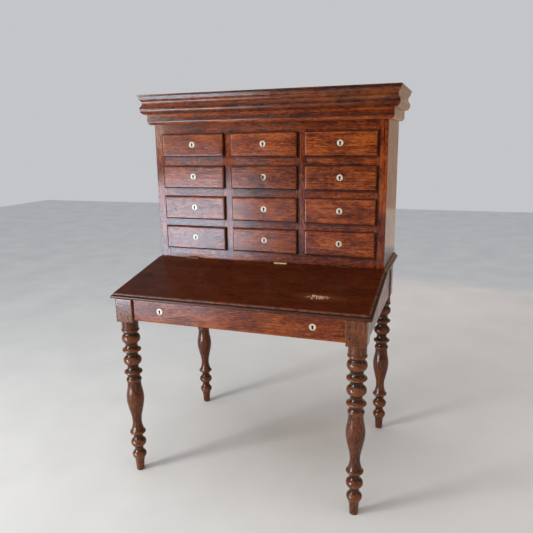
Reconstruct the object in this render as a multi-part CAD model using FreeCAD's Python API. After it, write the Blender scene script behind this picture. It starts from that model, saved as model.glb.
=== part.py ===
"""Slope-top writing desk with a case of twelve small drawers standing on its rear half.

Millimetres, +Z up, -Y towards the sitter. The pieces are laid out from the front face of the front legs
(y = 0), the middle of the desk (x = 0) and the floor (z = 0), and are moved at the end so that the
origin is on the floor at the middle of the object's bounding box.
"""

import FreeCAD, Part
import os
from math import atan, cos, degrees, tan

V = FreeCAD.Vector
X_AXIS, Y_AXIS, Z_AXIS = V(1, 0, 0), V(0, 1, 0), V(0, 0, 1)

# ---- Desk frame ----------------------------------------------------------------------------------
desk_width = 1000.0         # over the outer faces of the leg blocks
desk_depth = 738.0          # front face of the front blocks to rear face of the rear blocks
leg_block = 73.0            # square block at the top of each leg
block_bottom = 677.0        # where the block ends and the turning starts
apron_bottom = 685.0        # lower edge of the aprons and of the wide drawer
apron_thick = 22.0
apron_set_back = 4.0        # apron face behind the block face
tenon_long = 35.0
tenon_thick = 9.0
tenon_shoulder = 8.0        # tenon edge below or above the edge of its apron
peg_radius = 3.0
peg_long = 60.0
peg_inset = 13.0            # peg centre from the inner edge of the block
peg_heights = (707.5, 747.5)

# ---- Deck and slope lid --------------------------------------------------------------------------
deck_top = 869.0            # top of the level board that carries the case
deck_thick = 25.0
deck_show = 13.0            # deck in front of the case, back to the hinge line
lid_front_top = 796.0       # height of the lid's top surface at its front edge
lid_front_edge = 4.0        # that edge's distance behind the block face
lid_thick = 22.0
board_overhang = 5.5        # top edge of lid and deck outside the block face
lid_gap = 0.6               # lid's rear edge to the hinge line, and the deck's front edge likewise
rest_gap = 0.3              # between the lid and what it lies on
bead_reach, bead_deep = 5.0, 7.0
quirk_reach, quirk_deep = 2.0, 9.2
nose_reach, nose_mid = 13.0, 15.5
nose_foot = 6.0             # where the nose meets the underside, outside the top edge

# ---- Hinges of the lid ---------------------------------------------------------------------------
hinge_places = (-340.0, 72.0, 340.0)
hinge_long = 56.0
hinge_rise = 1.0            # pin axis above the deck
knuckle_radius = 3.6
knuckle_count = 5
knuckle_gap = 0.3
pin_radius = 1.5
pin_clearance = 0.08
leaf_wide = 19.0
leaf_thick = 1.6

# ---- Case of drawers -----------------------------------------------------------------------------
case_overhang = 2.0         # case side outside the block face
case_depth = 351.0
side_thick = 20.0
frame_thick = 22.0          # face frame, front to back
back_thick = 12.0
back_boards = 5
top_thick = 16.0
columns = 3
row_heights = (97.0, 97.0, 102.0, 103.0)    # drawer fronts, top row first
row_gaps = (37.0, 33.0, 30.0)               # frame showing between the rows
top_show, bottom_show = 39.0, 42.0          # frame showing above the top row and below the bottom row
stile_show, muntin_show = 37.0, 30.0
partition_thick = 18.0

# ---- Small drawers -------------------------------------------------------------------------------
lip = 8.0                   # front laps over its opening
lip_thick = 12.0            # front stands proud of the frame
lip_round = 8.0
plug_thick = 10.0           # part of the front inside the opening
drawer_gap = 1.5            # plug and box to the opening, each side
seat_gap = 0.3              # lip to the face frame, and box to its runners
drawer_back_gap = 24.3      # box to the case's back boards
wall_thick = 10.0
bottom_thick = 6.0
bottom_rise = 4.0
key_rise = 2.5              # keyhole above the middle of the front
runner_wide, runner_high = 18.0, 16.0
guide_high = 25.0
guide_gap = 0.7

# ---- Wide drawer under the lid -------------------------------------------------------------------
wide_thick = 20.0
wide_set_back = 10.0        # its face behind the block face
wide_side_gap = 1.2
wide_top_gap = 1.6          # under the lowest edge of the lid
wide_round = 4.0
frame_web = 14.0            # front frame above and below the opening
frame_end = 27.0            # front frame beside the opening
frame_back_gap = 1.0        # wide front to the front frame
wide_long = 540.0
wide_wall = 14.0
wide_bottom = 8.0
wide_key_places = (-307.0, 307.0)
wide_lock_lift = 4.0        # lock case above the drawer's bottom board
floor_thick = 8.0
floor_gap = 2.0
wide_runner_high = 13.5
wide_guide_high = 30.0
wide_guide_wide = 20.0

# ---- Locks ---------------------------------------------------------------------------------------
escutcheon_radius = 12.5
escutcheon_thick = 2.5
escutcheon_proud = 1.0
keyhole_radius = 2.6
keyhole_slot = 2.8
keyhole_deep = 7.6          # slot's lower end below the keyhole's centre
lock_wide, lock_thick = 46.0, 9.0
lock_below = 16.0           # lock case below the keyhole
bolt_wide, bolt_thick = 12.0, 4.0
bolt_above = 8.5            # bolt's lower end above the keyhole
bolt_layer = 2.5            # bolt's front face behind the front of the lock case
bolt_travel = 8.0
bolt_clear = 0.4
key_radius = 2.2
key_reach = 31.0            # key standing out of the escutcheon
bow_radius, bow_wire = 8.0, 1.7
bit_long, bit_wide = 7.0, 2.2
key_row, key_column = 2, 2  # the drawer whose key is left in its lock

# ---- Cornice -------------------------------------------------------------------------------------
cornice_high = 124.0
frieze_thick = 22.0
frieze_round = 16.0         # height of the rounded lower edge of the frieze
crown_high = 82.0
crown_reach = 49.0          # top fillet in front of the case

# ---- Turned legs: (height of the middle, radius, half height, radius where it ends) ---------------
collar_radius = 33.5
turned_beads = (
    (636.0, 36.0, 7.0, 32.0),       # ring under the collar
    (600.0, 37.5, 17.0, 30.0),      # ball
    (550.0, 38.0, 5.0, 33.0),       # disc
    (504.0, 37.0, 15.0, 30.0),      # ball
    (453.0, 37.2, 5.0, 33.0),       # disc
    (419.0, 31.5, 6.0, 29.0),       # ring over the vase
    (180.0, 33.0, 6.0, 28.0),       # disc under the vase
    (131.0, 32.0, 13.0, 27.0),      # ball
    (74.0, 29.6, 13.0, 24.0),       # ball
)
turned_necks = (28.5, 24.7, 23.8, 22.6, 25.8, None, 19.3, 18.2)     # None is the vase
vase = ((28.2, 406.0), (35.5, 350.0), (28.0, 282.0), (19.9, 216.0))
ankle = (18.6, 42.0)
foot_radius = 16.2

# ---- Sizes that follow ---------------------------------------------------------------------------
half_desk = desk_width / 2
hinge_y = desk_depth - case_depth - deck_show
hinge_z = deck_top + hinge_rise
slope = atan((deck_top - lid_front_top) / (hinge_y - lid_front_edge))
deck_bottom = deck_top - deck_thick
half_board = half_desk + board_overhang
case_front = desk_depth - case_depth
half_case = half_desk + case_overhang
front_wide = (2 * half_case - 2 * stile_show - (columns - 1) * muntin_show) / columns
column_pitch = front_wide + muntin_show
cornice_bottom = deck_top + bottom_show + sum(row_heights) + sum(row_gaps) + top_show
cornice_top = cornice_bottom + cornice_high
top_board_bottom = cornice_top - 3.0 - top_thick
back_face = desk_depth - back_thick
leg_centre_x = half_desk - leg_block / 2
leg_centres = {
    "front_left": (-leg_centre_x, leg_block / 2),
    "front_right": (leg_centre_x, leg_block / 2),
    "rear_left": (-leg_centre_x, desk_depth - leg_block / 2),
    "rear_right": (leg_centre_x, desk_depth - leg_block / 2),
}


def lid_underside(y):
    """Height of the lid's flat underside at y."""
    return deck_top - (hinge_y - y) * tan(slope) - lid_thick / cos(slope)


wide_top = lid_underside(lid_front_edge - nose_foot) - wide_top_gap
opening_low = apron_bottom + 1.0 + frame_web
opening_high = wide_top - 0.5 - frame_web
frame_front = wide_set_back + wide_thick + frame_back_gap
frame_rear = frame_front + apron_thick
half_opening = half_desk - leg_block - frame_end


# ---- Helpers -------------------------------------------------------------------------------------
def block(x0, x1, y0, y1, z0, z1):
    """Rectangular board between three pairs of limits."""
    return Part.makeBox(x1 - x0, y1 - y0, z1 - z0, V(x0, y0, z0))


def both_sides(shape):
    """The shape and its mirror image across the middle of the desk."""
    return [shape, shape.mirror(V(0, 0, 0), X_AXIS)]


def trace(points, place):
    """Edges through points; a pair of points is an arc through the first to the second."""
    edges, last = [], place(*points[0])
    for point in points[1:]:
        if isinstance(point[0], tuple):
            middle, end = (place(*p) for p in point)
            edges.append(Part.Arc(last, middle, end).toShape())
        else:
            end = place(*point)
            edges.append(Part.makeLine(last, end))
        last = end
    return edges


def closed_face(edges):
    """Flat face bounded by edges given in any order."""
    return Part.Face(Part.Wire(Part.__sortEdges__(edges)))


def prism(points, place, along):
    """Outline closed and carried straight along a vector."""
    return closed_face(trace(list(points) + [points[0]], place)).extrude(along)


def front_edges(shape, y):
    """Edges that lie in the plane at y."""
    return [e for e in shape.Edges if abs(e.BoundBox.YMin - y) < 1e-6 and abs(e.BoundBox.YMax - y) < 1e-6]


def keyhole(x, y, z, deep):
    """Round hole with a slot under it, cut straight back from y."""
    hole = Part.makeCylinder(keyhole_radius, deep, V(x, y, z), Y_AXIS)
    slot = block(x - keyhole_slot / 2, x + keyhole_slot / 2, y, y + deep, z - keyhole_deep, z)
    return hole.fuse(slot)


# ---- Turned legs ---------------------------------------------------------------------------------
def turned_leg():
    """Turning below the block, on the Z axis: beads joined by coves, a vase and a tapering foot."""
    def place(radius, z):
        return V(radius, 0, z)

    def lower_end(number):
        z, _, half, end = turned_beads[number]
        return end, z - half

    lowest = len(turned_beads) - 1
    edges, path = [], [(0, 0), (foot_radius, 0), ankle, lower_end(lowest)]
    for number in range(lowest, -1, -1):
        z, radius, half, end = turned_beads[number]
        path.append(((radius, z), (end, z + half)))
        if number == 0:
            continue
        neck, start, stop = turned_necks[number - 1], (end, z + half), lower_end(number - 1)
        if neck is not None:
            path.append(((neck, (start[1] + stop[1]) / 2), stop))
            continue
        edges += trace(path, place)
        curve = Part.BSplineCurve()
        curve.interpolate([place(*p) for p in (start,) + vase[::-1] + (stop,)])
        edges.append(curve.toShape())
        path = [stop]
    path += [(collar_radius, path[-1][1][1]), (collar_radius, block_bottom), (0, block_bottom), (0, 0)]
    edges += trace(path, place)
    return closed_face(edges).revolve(V(0, 0, 0), Z_AXIS, 360)


def front_block_top(y):
    """The front blocks and the aprons are planed to the slope, just under the lid."""
    return lid_underside(y) - rest_gap


def make_legs():
    """Four legs, each a square block over a turning, with mortises for the aprons' tenons."""
    turning = turned_leg()
    legs = {}
    for name, (x, y) in leg_centres.items():
        half = leg_block / 2
        if name.startswith("front"):
            outline = [(0, block_bottom), (leg_block, block_bottom), (leg_block, front_block_top(leg_block)),
                       (0, front_block_top(0))]
            top = prism(outline, lambda a, b: V(x - half, a, b), V(leg_block, 0, 0))
        else:
            top = block(x - half, x + half, y - half, y + half, block_bottom, deck_bottom)
        leg = top.fuse(turning.translated(V(x, y, 0)))
        for piece in front_frame_ends + side_aprons + [back_apron]:
            leg = leg.cut(piece)
        if name.startswith("front"):
            for peg in pegs:
                leg = leg.cut(peg)
        legs["leg_" + name] = leg.removeSplitter()
    return legs


# ---- Aprons and the frame behind the wide drawer ---------------------------------------------------
def make_side_apron():
    """Right apron: level under the deck, then falling with the slope, with a tenon at each end."""
    outer = half_desk - apron_set_back
    start, stop = leg_block, desk_depth - leg_block
    turn = hinge_y - lid_gap
    outline = [(start, apron_bottom), (stop, apron_bottom), (stop, deck_bottom), (turn, deck_bottom),
               (turn, front_block_top(turn)), (start, front_block_top(start))]
    board = prism(outline, lambda a, b: V(outer - apron_thick, a, b), V(apron_thick, 0, 0))
    middle = outer - apron_thick / 2
    low, high = apron_bottom + tenon_shoulder, front_block_top(start - tenon_long) - tenon_shoulder
    tenon = block(middle - tenon_thick / 2, middle + tenon_thick / 2, start - tenon_long, stop + tenon_long,
                  low, high)
    return board.fuse(tenon).removeSplitter()


def make_back_apron():
    """Board between the rear blocks, tenoned into both."""
    inner = half_desk - leg_block
    rear = desk_depth - apron_set_back
    board = block(-inner, inner, rear - apron_thick, rear, apron_bottom, deck_bottom)
    middle = rear - apron_thick / 2
    tenon = block(-inner - tenon_long, inner + tenon_long, middle - tenon_thick / 2, middle + tenon_thick / 2,
                  apron_bottom + tenon_shoulder, deck_bottom - tenon_shoulder)
    return board.fuse(tenon).removeSplitter()


def make_front_frame():
    """Frame behind the wide drawer's front: two uprights pegged to the blocks and two rails."""
    inner = half_desk - leg_block
    low, high = apron_bottom + 1.0, wide_top - 0.5
    upright = block(half_opening, inner, frame_front, frame_rear, low, high)
    middle = (frame_front + frame_rear) / 2
    tenon = block(half_opening, inner + tenon_long, middle - tenon_thick / 2, middle + tenon_thick / 2,
                  low + tenon_shoulder, high - tenon_shoulder)
    ends = both_sides(upright.fuse(tenon).removeSplitter())
    lower = block(-half_opening, half_opening, frame_front, frame_rear, low, opening_low)
    upper = block(-half_opening, half_opening, frame_front, frame_rear, opening_high, high)
    for x in wide_key_places:
        upper = upper.cut(bolt_mortise(x, wide_set_back + wide_thick, opening_high))
    return ends, [lower, upper]


def make_pegs():
    """Four pegs, two through each front block and the upright's tenon behind it."""
    x = half_desk - leg_block + peg_inset
    return [p for z in peg_heights for p in both_sides(Part.makeCylinder(peg_radius, peg_long, V(x, 0, z), Y_AXIS))]


# ---- Locks ---------------------------------------------------------------------------------------
def bolt_mortise(x, lock_front, z):
    """Pocket above an opening for the thrown bolt."""
    y = lock_front + bolt_layer
    half = bolt_wide / 2 + bolt_clear
    return block(x - half, x + half, y - bolt_clear, y + bolt_thick + bolt_clear, z, z + bolt_travel + 1.0)


def lock_parts(x, face, lock_front, z, top):
    """Bone escutcheon, iron lock case and bolt for a keyhole at x, z in a front whose face is at face."""
    disc = Part.makeCylinder(escutcheon_radius, escutcheon_thick, V(x, face - escutcheon_proud, z), Y_AXIS)
    hole = keyhole(x, face - escutcheon_proud, z, lock_front + bolt_layer - face + escutcheon_proud)
    case = block(x - lock_wide / 2, x + lock_wide / 2, lock_front, lock_front + lock_thick, z - lock_below, top)
    layer = lock_front + bolt_layer
    half = bolt_wide / 2 + bolt_clear
    channel = block(x - half, x + half, layer - bolt_clear, layer + bolt_thick + bolt_clear,
                    z + bolt_above - bolt_clear, top + 1.0)
    sweep = Part.makeCylinder(bit_long + 1.0, bolt_thick + 2 * bolt_clear, V(x, layer - bolt_clear, z), Y_AXIS)
    throat = block(x - half, x + half, layer - bolt_clear, layer + bolt_thick + bolt_clear, z, z + bolt_above)
    case = case.cut(channel).cut(sweep).cut(throat).cut(hole)
    bolt = block(x - bolt_wide / 2, x + bolt_wide / 2, layer, layer + bolt_thick, z + bolt_above, top - 0.5)
    return disc, hole, case, bolt


def make_key(x, face, lock_front, z):
    """Key standing in the lock: ring bow, round shank and a bit pointing down."""
    start = face - escutcheon_proud - key_reach
    bow_middle = start + bow_radius + bow_wire
    layer = lock_front + bolt_layer
    shank_start = bow_middle + bow_radius - bow_wire / 2
    shank = Part.makeCylinder(key_radius, layer + bolt_thick - shank_start, V(x, shank_start, z), Y_AXIS)
    bow = Part.makeTorus(bow_radius, bow_wire, V(x, bow_middle, z), X_AXIS)
    bit = block(x - bit_wide / 2, x + bit_wide / 2, layer + 0.2, layer + bolt_thick - 0.2, z - bit_long, z)
    return shank.fuse([bow, bit]).removeSplitter()


# ---- Small drawers -------------------------------------------------------------------------------
def column_x(column):
    """Middle of a column, counted from 1 at the left."""
    return (column - (columns + 1) / 2) * column_pitch


def row_limits(row):
    """Lower and upper edge of the drawer fronts in a row, counted from 1 at the top."""
    top = cornice_bottom - top_show - sum(row_heights[:row - 1]) - sum(row_gaps[:row - 1])
    return top - row_heights[row - 1], top


def make_small_drawer(column, row):
    """Lipped front, two sides, back, bottom and lock case, with the escutcheon, bolt and key apart."""
    x = column_x(column)
    low, high = row_limits(row)
    z = (low + high) / 2 + key_rise
    half = front_wide / 2
    face = case_front - seat_gap - lip_thick
    inside = case_front - seat_gap + plug_thick
    rear = back_face - drawer_back_gap
    front = block(x - half, x + half, face, face + lip_thick, low, high)
    front = front.makeFillet(lip_round, front_edges(front, face))
    box_half = half - lip - drawer_gap
    box_low, box_high = low + lip + seat_gap, high - lip - drawer_gap
    front = front.fuse(block(x - box_half, x + box_half, face + lip_thick, inside, box_low, box_high))
    disc, hole, case, bolt = lock_parts(x, face, inside, z, box_high)
    front = front.cut(disc).cut(hole).removeSplitter()
    wall = block(x + box_half - wall_thick, x + box_half, inside, rear, box_low, box_high)
    other = wall.translated(V(wall_thick - 2 * box_half, 0, 0))
    clear = box_half - wall_thick
    back = block(x - clear, x + clear, rear - wall_thick, rear, box_low + bottom_rise + bottom_thick, box_high)
    floor = block(x - clear, x + clear, inside, rear, box_low + bottom_rise, box_low + bottom_rise + bottom_thick)
    key = make_key(x, face, inside, z)
    return [front, wall, other, back, floor, case], disc.cut(hole), bolt, key


# ---- Wide drawer ---------------------------------------------------------------------------------
def make_wide_drawer():
    """Front between the leg blocks, box through the front frame, two locks."""
    half = half_desk - leg_block - wide_side_gap
    face, inside = wide_set_back, wide_set_back + wide_thick
    rear = inside + wide_long
    front = block(-half, half, face, inside, apron_bottom, wide_top)
    lower = [e for e in front_edges(front, face) if abs(e.BoundBox.ZMax - apron_bottom) < 1e-6]
    front = front.makeFillet(wide_round, lower)
    box_half = half_opening - drawer_gap
    box_low, box_high = opening_low + seat_gap, opening_high - drawer_gap
    floor_low = box_low + bottom_rise
    key_z = floor_low + wide_bottom + wide_lock_lift + lock_below
    pieces, discs, bolts = [], [], []
    for x in wide_key_places:
        disc, hole, case, bolt = lock_parts(x, face, inside, key_z, box_high)
        front = front.cut(disc).cut(hole)
        pieces.append(case)
        discs.append(disc.cut(hole))
        bolts.append(bolt)
    pieces.append(front.removeSplitter())
    clear = box_half - wide_wall
    pieces += both_sides(block(clear, box_half, inside, rear, box_low, box_high))
    pieces.append(block(-clear, clear, rear - wide_wall, rear, floor_low + wide_bottom, box_high))
    pieces.append(block(-clear, clear, inside, rear, floor_low, floor_low + wide_bottom))
    return pieces, discs, bolts


def make_desk_floor():
    """Floor of the well under the lid, and the runners and guides of the wide drawer."""
    wall = half_desk - apron_set_back - apron_thick
    rear = desk_depth - apron_set_back - apron_thick
    low = opening_high + floor_gap
    floor = block(-wall, wall, frame_rear, rear, low, low + floor_thick)
    corner = block(half_desk - leg_block, wall, 0, leg_block, low, low + floor_thick)
    for piece in both_sides(corner) + both_sides(corner.translated(V(0, desk_depth - leg_block, 0))):
        floor = floor.cut(piece)
    side = half_opening - 20.0
    runner = block(side, half_opening + 20.0, frame_rear, rear, opening_low - wide_runner_high, opening_low)
    guide_start = half_opening - drawer_gap + guide_gap
    guide = block(guide_start, guide_start + wide_guide_wide, frame_rear, rear, opening_low,
                  opening_low + wide_guide_high)
    return [floor] + both_sides(runner) + both_sides(guide)


# ---- Deck, lid and hinges ------------------------------------------------------------------------
def moulded_edge(thick):
    """Bead, quirk and nose worked on the edge of a board, as reach outside and height under its top."""
    return [(0, 0), ((bead_reach * 0.75, -bead_deep * 0.3), (bead_reach, -bead_deep)),
            (quirk_reach, -bead_deep), (quirk_reach, -quirk_deep),
            ((nose_reach, -nose_mid), (nose_foot, -thick))]


def side_moulded_slab(y0, y1, thick):
    """Level board, top at z = 0, with the moulding on its left and right edges."""
    right = trace(moulded_edge(thick), lambda a, b: V(half_board + a, y0, b))
    left = [e.mirror(V(0, 0, 0), X_AXIS) for e in right]
    foot = half_board + nose_foot
    top = Part.makeLine(V(-half_board, y0, 0), V(half_board, y0, 0))
    bottom = Part.makeLine(V(-foot, y0, -thick), V(foot, y0, -thick))
    return closed_face(right + left + [top, bottom]).extrude(V(0, y1 - y0, 0))


def tilt(shape):
    """Turn a level shape about the line where the deck's top meets the hinge plane, to the slope."""
    turned = shape.copy()
    turned.rotate(V(0, hinge_y, deck_top), X_AXIS, degrees(slope))
    return turned


def hinge_space():
    """Rounds cut in the boards so that the knuckles turn freely."""
    radius = knuckle_radius + 0.6
    return [Part.makeCylinder(radius, hinge_long + 1.0, V(x - hinge_long / 2 - 0.5, hinge_y, hinge_z), X_AXIS)
            for x in hinge_places]


def make_hinges():
    """Fixed leaves with their pins, and the leaves that turn with the lid."""
    pitch = hinge_long / knuckle_count
    fixed, moving = [], []
    for place in hinge_places:
        start = place - hinge_long / 2
        low = deck_top - leaf_wide

        def barrel(number, radius, grow=0.0):
            length = pitch - knuckle_gap + 2 * grow
            return Part.makeCylinder(radius, length, V(start + number * pitch + knuckle_gap / 2 - grow, hinge_y,
                                                       hinge_z), X_AXIS)

        even = [barrel(n, knuckle_radius) for n in range(0, knuckle_count, 2)]
        odd = [barrel(n, knuckle_radius) for n in range(1, knuckle_count, 2)]
        even_space = [barrel(n, knuckle_radius + 0.5, knuckle_gap) for n in range(0, knuckle_count, 2)]
        odd_space = [barrel(n, knuckle_radius + 0.5, knuckle_gap) for n in range(1, knuckle_count, 2)]
        pin = Part.makeCylinder(pin_radius, hinge_long, V(start, hinge_y, hinge_z), X_AXIS)
        bore = Part.makeCylinder(pin_radius + pin_clearance, hinge_long, V(start, hinge_y, hinge_z), X_AXIS)
        leaf = block(start, start + hinge_long, hinge_y + lid_gap, hinge_y + lid_gap + leaf_thick, low, hinge_z)
        fixed.append(leaf.cut(Part.makeCompound(odd_space)).fuse(even + [pin]).removeSplitter())
        flap = block(start, start + hinge_long, hinge_y - lid_gap - leaf_thick, hinge_y - lid_gap, low, hinge_z)
        flap = flap.cut(Part.makeCompound(even_space))
        moving.append(flap.fuse(odd).cut(bore).removeSplitter())
    return fixed, moving


def make_deck(leaves):
    """Level board with moulded ends, let in for the fixed leaves."""
    deck = side_moulded_slab(hinge_y + lid_gap, desk_depth, deck_thick).translated(V(0, 0, deck_top))
    for space in hinge_space() + leaves:
        deck = deck.cut(space)
    return deck


def make_lid(flaps):
    """Sloping board moulded along its front and both sides, its rear edge plumb, let in for the leaves."""
    front = hinge_y - (hinge_y - lid_front_edge) / cos(slope)
    rear = hinge_y + lid_thick
    slab = side_moulded_slab(front - 2 * nose_reach, rear, lid_thick)
    outline = moulded_edge(lid_thick) + [(front - rear, -lid_thick), (front - rear, 0)]
    bar = prism(outline, lambda a, b: V(-desk_width, front - a, b), V(2 * desk_width, 0, 0))
    lid = tilt(slab.common(bar).translated(V(0, 0, deck_top)))
    lid = lid.cut(block(-desk_width, desk_width, hinge_y - lid_gap, rear + lid_thick, 0, 2 * deck_top))
    for space in hinge_space() + flaps:
        lid = lid.cut(space)
    return lid


# ---- Case ----------------------------------------------------------------------------------------
def make_case_shell():
    """Two sides and the board across their tops."""
    side = block(half_case - side_thick, half_case, case_front + frame_thick, desk_depth, deck_top,
                 top_board_bottom)
    top = block(-half_case, half_case, case_front, desk_depth, top_board_bottom, top_board_bottom + top_thick)
    return both_sides(side) + [top]


def make_face_frame():
    """Stiles, top and bottom rail, full-height muntins and short rails between them."""
    rear = case_front + frame_thick
    stile = stile_show + lip
    pieces = both_sides(block(half_case - stile, half_case, case_front, rear, deck_top, top_board_bottom))
    low, high = row_limits(len(row_heights))[0] + lip, row_limits(1)[1] - lip
    top_rail = block(stile - half_case, half_case - stile, case_front, rear, high, top_board_bottom)
    lock_front = case_front - seat_gap + plug_thick
    for column in range(1, columns + 1):
        top_rail = top_rail.cut(bolt_mortise(column_x(column), lock_front, high))
    pieces += [top_rail, block(stile - half_case, half_case - stile, case_front, rear, deck_top, low)]
    half = muntin_show / 2 + lip
    for column in range(1, columns):
        x = column_x(column) + column_pitch / 2
        pieces.append(block(x - half, x + half, case_front, rear, low, high))
    clear = front_wide / 2 - lip
    for row in range(2, len(row_heights) + 1):
        for column in range(1, columns + 1):
            x = column_x(column)
            bottom, top = row_limits(row)[1] - lip, row_limits(row - 1)[0] + lip
            rail = block(x - clear, x + clear, case_front, rear, bottom, top)
            pieces.append(rail.cut(bolt_mortise(x, lock_front, bottom)))
    return pieces


def make_dividers():
    """Partitions behind the muntins, and a runner and guide at each side of every drawer."""
    front = case_front + frame_thick
    pieces = []
    for column in range(1, columns):
        x = column_x(column) + column_pitch / 2
        pieces.append(block(x - partition_thick / 2, x + partition_thick / 2, front, back_face, deck_top,
                            top_board_bottom))
    clear = front_wide / 2 - lip - drawer_gap
    for column in range(1, columns + 1):
        x = column_x(column)
        left = x - column_pitch / 2 + partition_thick / 2
        right = x + column_pitch / 2 - partition_thick / 2
        if column == 1:
            left = side_thick - half_case
        if column == columns:
            right = half_case - side_thick
        for row in range(1, len(row_heights) + 1):
            z = row_limits(row)[0] + lip
            pieces.append(block(left, x - clear + runner_wide, front, back_face, z - runner_high, z))
            pieces.append(block(x + clear - runner_wide, right, front, back_face, z - runner_high, z))
            pieces.append(block(left, x - clear - guide_gap, front, back_face, z, z + guide_high))
            pieces.append(block(x + clear + guide_gap, right, front, back_face, z, z + guide_high))
    return pieces


def make_case_back():
    """Upright boards between the sides."""
    clear = half_case - side_thick
    wide = 2 * clear / back_boards
    return [block(n * wide - clear, (n + 1) * wide - clear, back_face, desk_depth, deck_top, top_board_bottom)
            for n in range(back_boards)]


def mitred_run(points):
    """A moulding carried along the front and back along both sides of the case, mitred at the corners."""
    far = half_case + 2 * crown_reach
    front = prism(points, lambda a, b: V(-far, case_front - a, b), V(2 * far, 0, 0))
    side = prism(points, lambda a, b: V(half_case + a, case_front - 2 * crown_reach, b),
                 V(0, case_depth + 2 * crown_reach, 0))
    reach = 2 * crown_reach
    low, high = cornice_bottom - 1.0, cornice_top + 1.0
    corner = [(half_case, case_front), (half_case + reach, case_front - reach), (-half_case - reach, case_front - reach),
              (-half_case, case_front)]
    front = front.common(prism(corner, lambda a, b: V(a, b, low), V(0, 0, high - low)))
    corner = [(half_case, case_front), (half_case + reach, case_front - reach), (half_case + reach, desk_depth),
              (half_case, desk_depth)]
    side = side.common(prism(corner, lambda a, b: V(a, b, low), V(0, 0, high - low)))
    return [front] + both_sides(side)


def make_cornice():
    """Flat frieze with a rounded lower edge, and the crown moulding planted on it."""
    t, low, top = frieze_thick, cornice_bottom, cornice_top
    frieze = [(0, low), (t * 0.55, low), ((t * 0.85, low + frieze_round * 0.35), (t, low + frieze_round)), (t, top),
              (0, top)]
    foot = top - crown_high
    crown = [(t, foot), (t + 8.0, foot + 1.0), ((44.5, top - 60.0), (38.5, top - 45.0)),
             ((35.5, top - 35.0), (43.5, top - 20.0)), (46.0, top - 8.0), (crown_reach, top - 8.0),
             (crown_reach, top), (t, top)]
    return mitred_run(frieze) + mitred_run(crown)


# ---- Build and export ----------------------------------------------------------------------------
front_frame_ends, front_frame_rails = make_front_frame()
side_aprons = both_sides(make_side_apron())
back_apron = make_back_apron()
pegs = make_pegs()
fixed_leaves, moving_leaves = make_hinges()
wide_pieces, wide_discs, wide_bolts = make_wide_drawer()

nodes = {name: [leg] for name, leg in make_legs().items()}
nodes["side_apron_right"], nodes["side_apron_left"] = ([piece] for piece in side_aprons)
nodes["back_apron"] = [back_apron]
nodes["front_frame"] = [piece.cut(Part.makeCompound(pegs)) for piece in front_frame_ends] + front_frame_rails
nodes["frame_pegs"] = pegs
nodes["desk_floor"] = make_desk_floor()
nodes["deck_board"] = [make_deck(fixed_leaves)]
nodes["slope_lid"] = [make_lid(moving_leaves)]
nodes["hinge_fixed_leaves"] = fixed_leaves
nodes["hinge_lid_leaves"] = moving_leaves
nodes["wide_drawer"] = wide_pieces
nodes["wide_escutcheons"] = wide_discs
nodes["bolt_wide_left"], nodes["bolt_wide_right"] = ([bolt] for bolt in wide_bolts)
nodes["case_shell"] = make_case_shell()
nodes["face_frame"] = make_face_frame()
nodes["case_dividers"] = make_dividers()
nodes["case_back"] = make_case_back()
nodes["cornice"] = make_cornice()
for row in range(1, len(row_heights) + 1):
    for column in range(1, columns + 1):
        place = f"r{row}c{column}"
        pieces, disc, bolt, key = make_small_drawer(column, row)
        nodes["drawer_" + place] = pieces
        nodes["escutcheon_" + place] = [disc]
        nodes["bolt_" + place] = [bolt]
        if (row, column) == (key_row, key_column):
            nodes["key"] = [key]

object_front = nodes["slope_lid"][0].optimalBoundingBox(False, False).YMin
centre_y = (object_front + desk_depth) / 2
os.makedirs("parts", exist_ok=True)
for name, pieces in nodes.items():
    shape = Part.makeCompound([piece.translated(V(0, -centre_y, 0)) for piece in pieces])
    shape.exportStep(f"parts/{name}.step")
print(f"{len(nodes)} nodes, {sum(len(pieces) for pieces in nodes.values())} pieces")
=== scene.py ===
# %% [markdown]
# # A slope-top writing desk with a case of twelve drawers
# An old desk, joined, turned and varnished by hand. Its structure comes from the CAD model, which is loaded
# first and never moved. Every piece below is a closed surface worked out with numpy, put where the CAD model
# says, and finished with materials that are made of nodes.

import math

import bpy
import numpy as np
from mathutils import Matrix, Vector


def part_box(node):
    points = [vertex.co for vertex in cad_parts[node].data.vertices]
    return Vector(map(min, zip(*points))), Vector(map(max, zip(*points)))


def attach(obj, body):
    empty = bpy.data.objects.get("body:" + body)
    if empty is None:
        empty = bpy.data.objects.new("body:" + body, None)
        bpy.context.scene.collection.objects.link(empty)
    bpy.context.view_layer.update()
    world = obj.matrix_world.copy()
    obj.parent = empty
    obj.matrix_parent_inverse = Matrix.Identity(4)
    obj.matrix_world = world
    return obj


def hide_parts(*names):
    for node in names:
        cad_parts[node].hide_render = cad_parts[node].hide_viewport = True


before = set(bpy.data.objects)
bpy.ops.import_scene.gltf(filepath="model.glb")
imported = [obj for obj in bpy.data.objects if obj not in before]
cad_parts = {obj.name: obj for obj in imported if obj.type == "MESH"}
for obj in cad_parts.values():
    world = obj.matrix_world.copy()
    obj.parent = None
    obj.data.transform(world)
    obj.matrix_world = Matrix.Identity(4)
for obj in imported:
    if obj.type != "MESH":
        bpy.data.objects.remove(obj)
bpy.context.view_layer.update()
scene = bpy.context.scene

# %% [markdown]
# ## The camera
# Somebody stands to the right of the desk and looks down a little. The camera turns about the upright axis,
# then nods down, and last it rolls by less than a degree, as a camera held by hand does.

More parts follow.
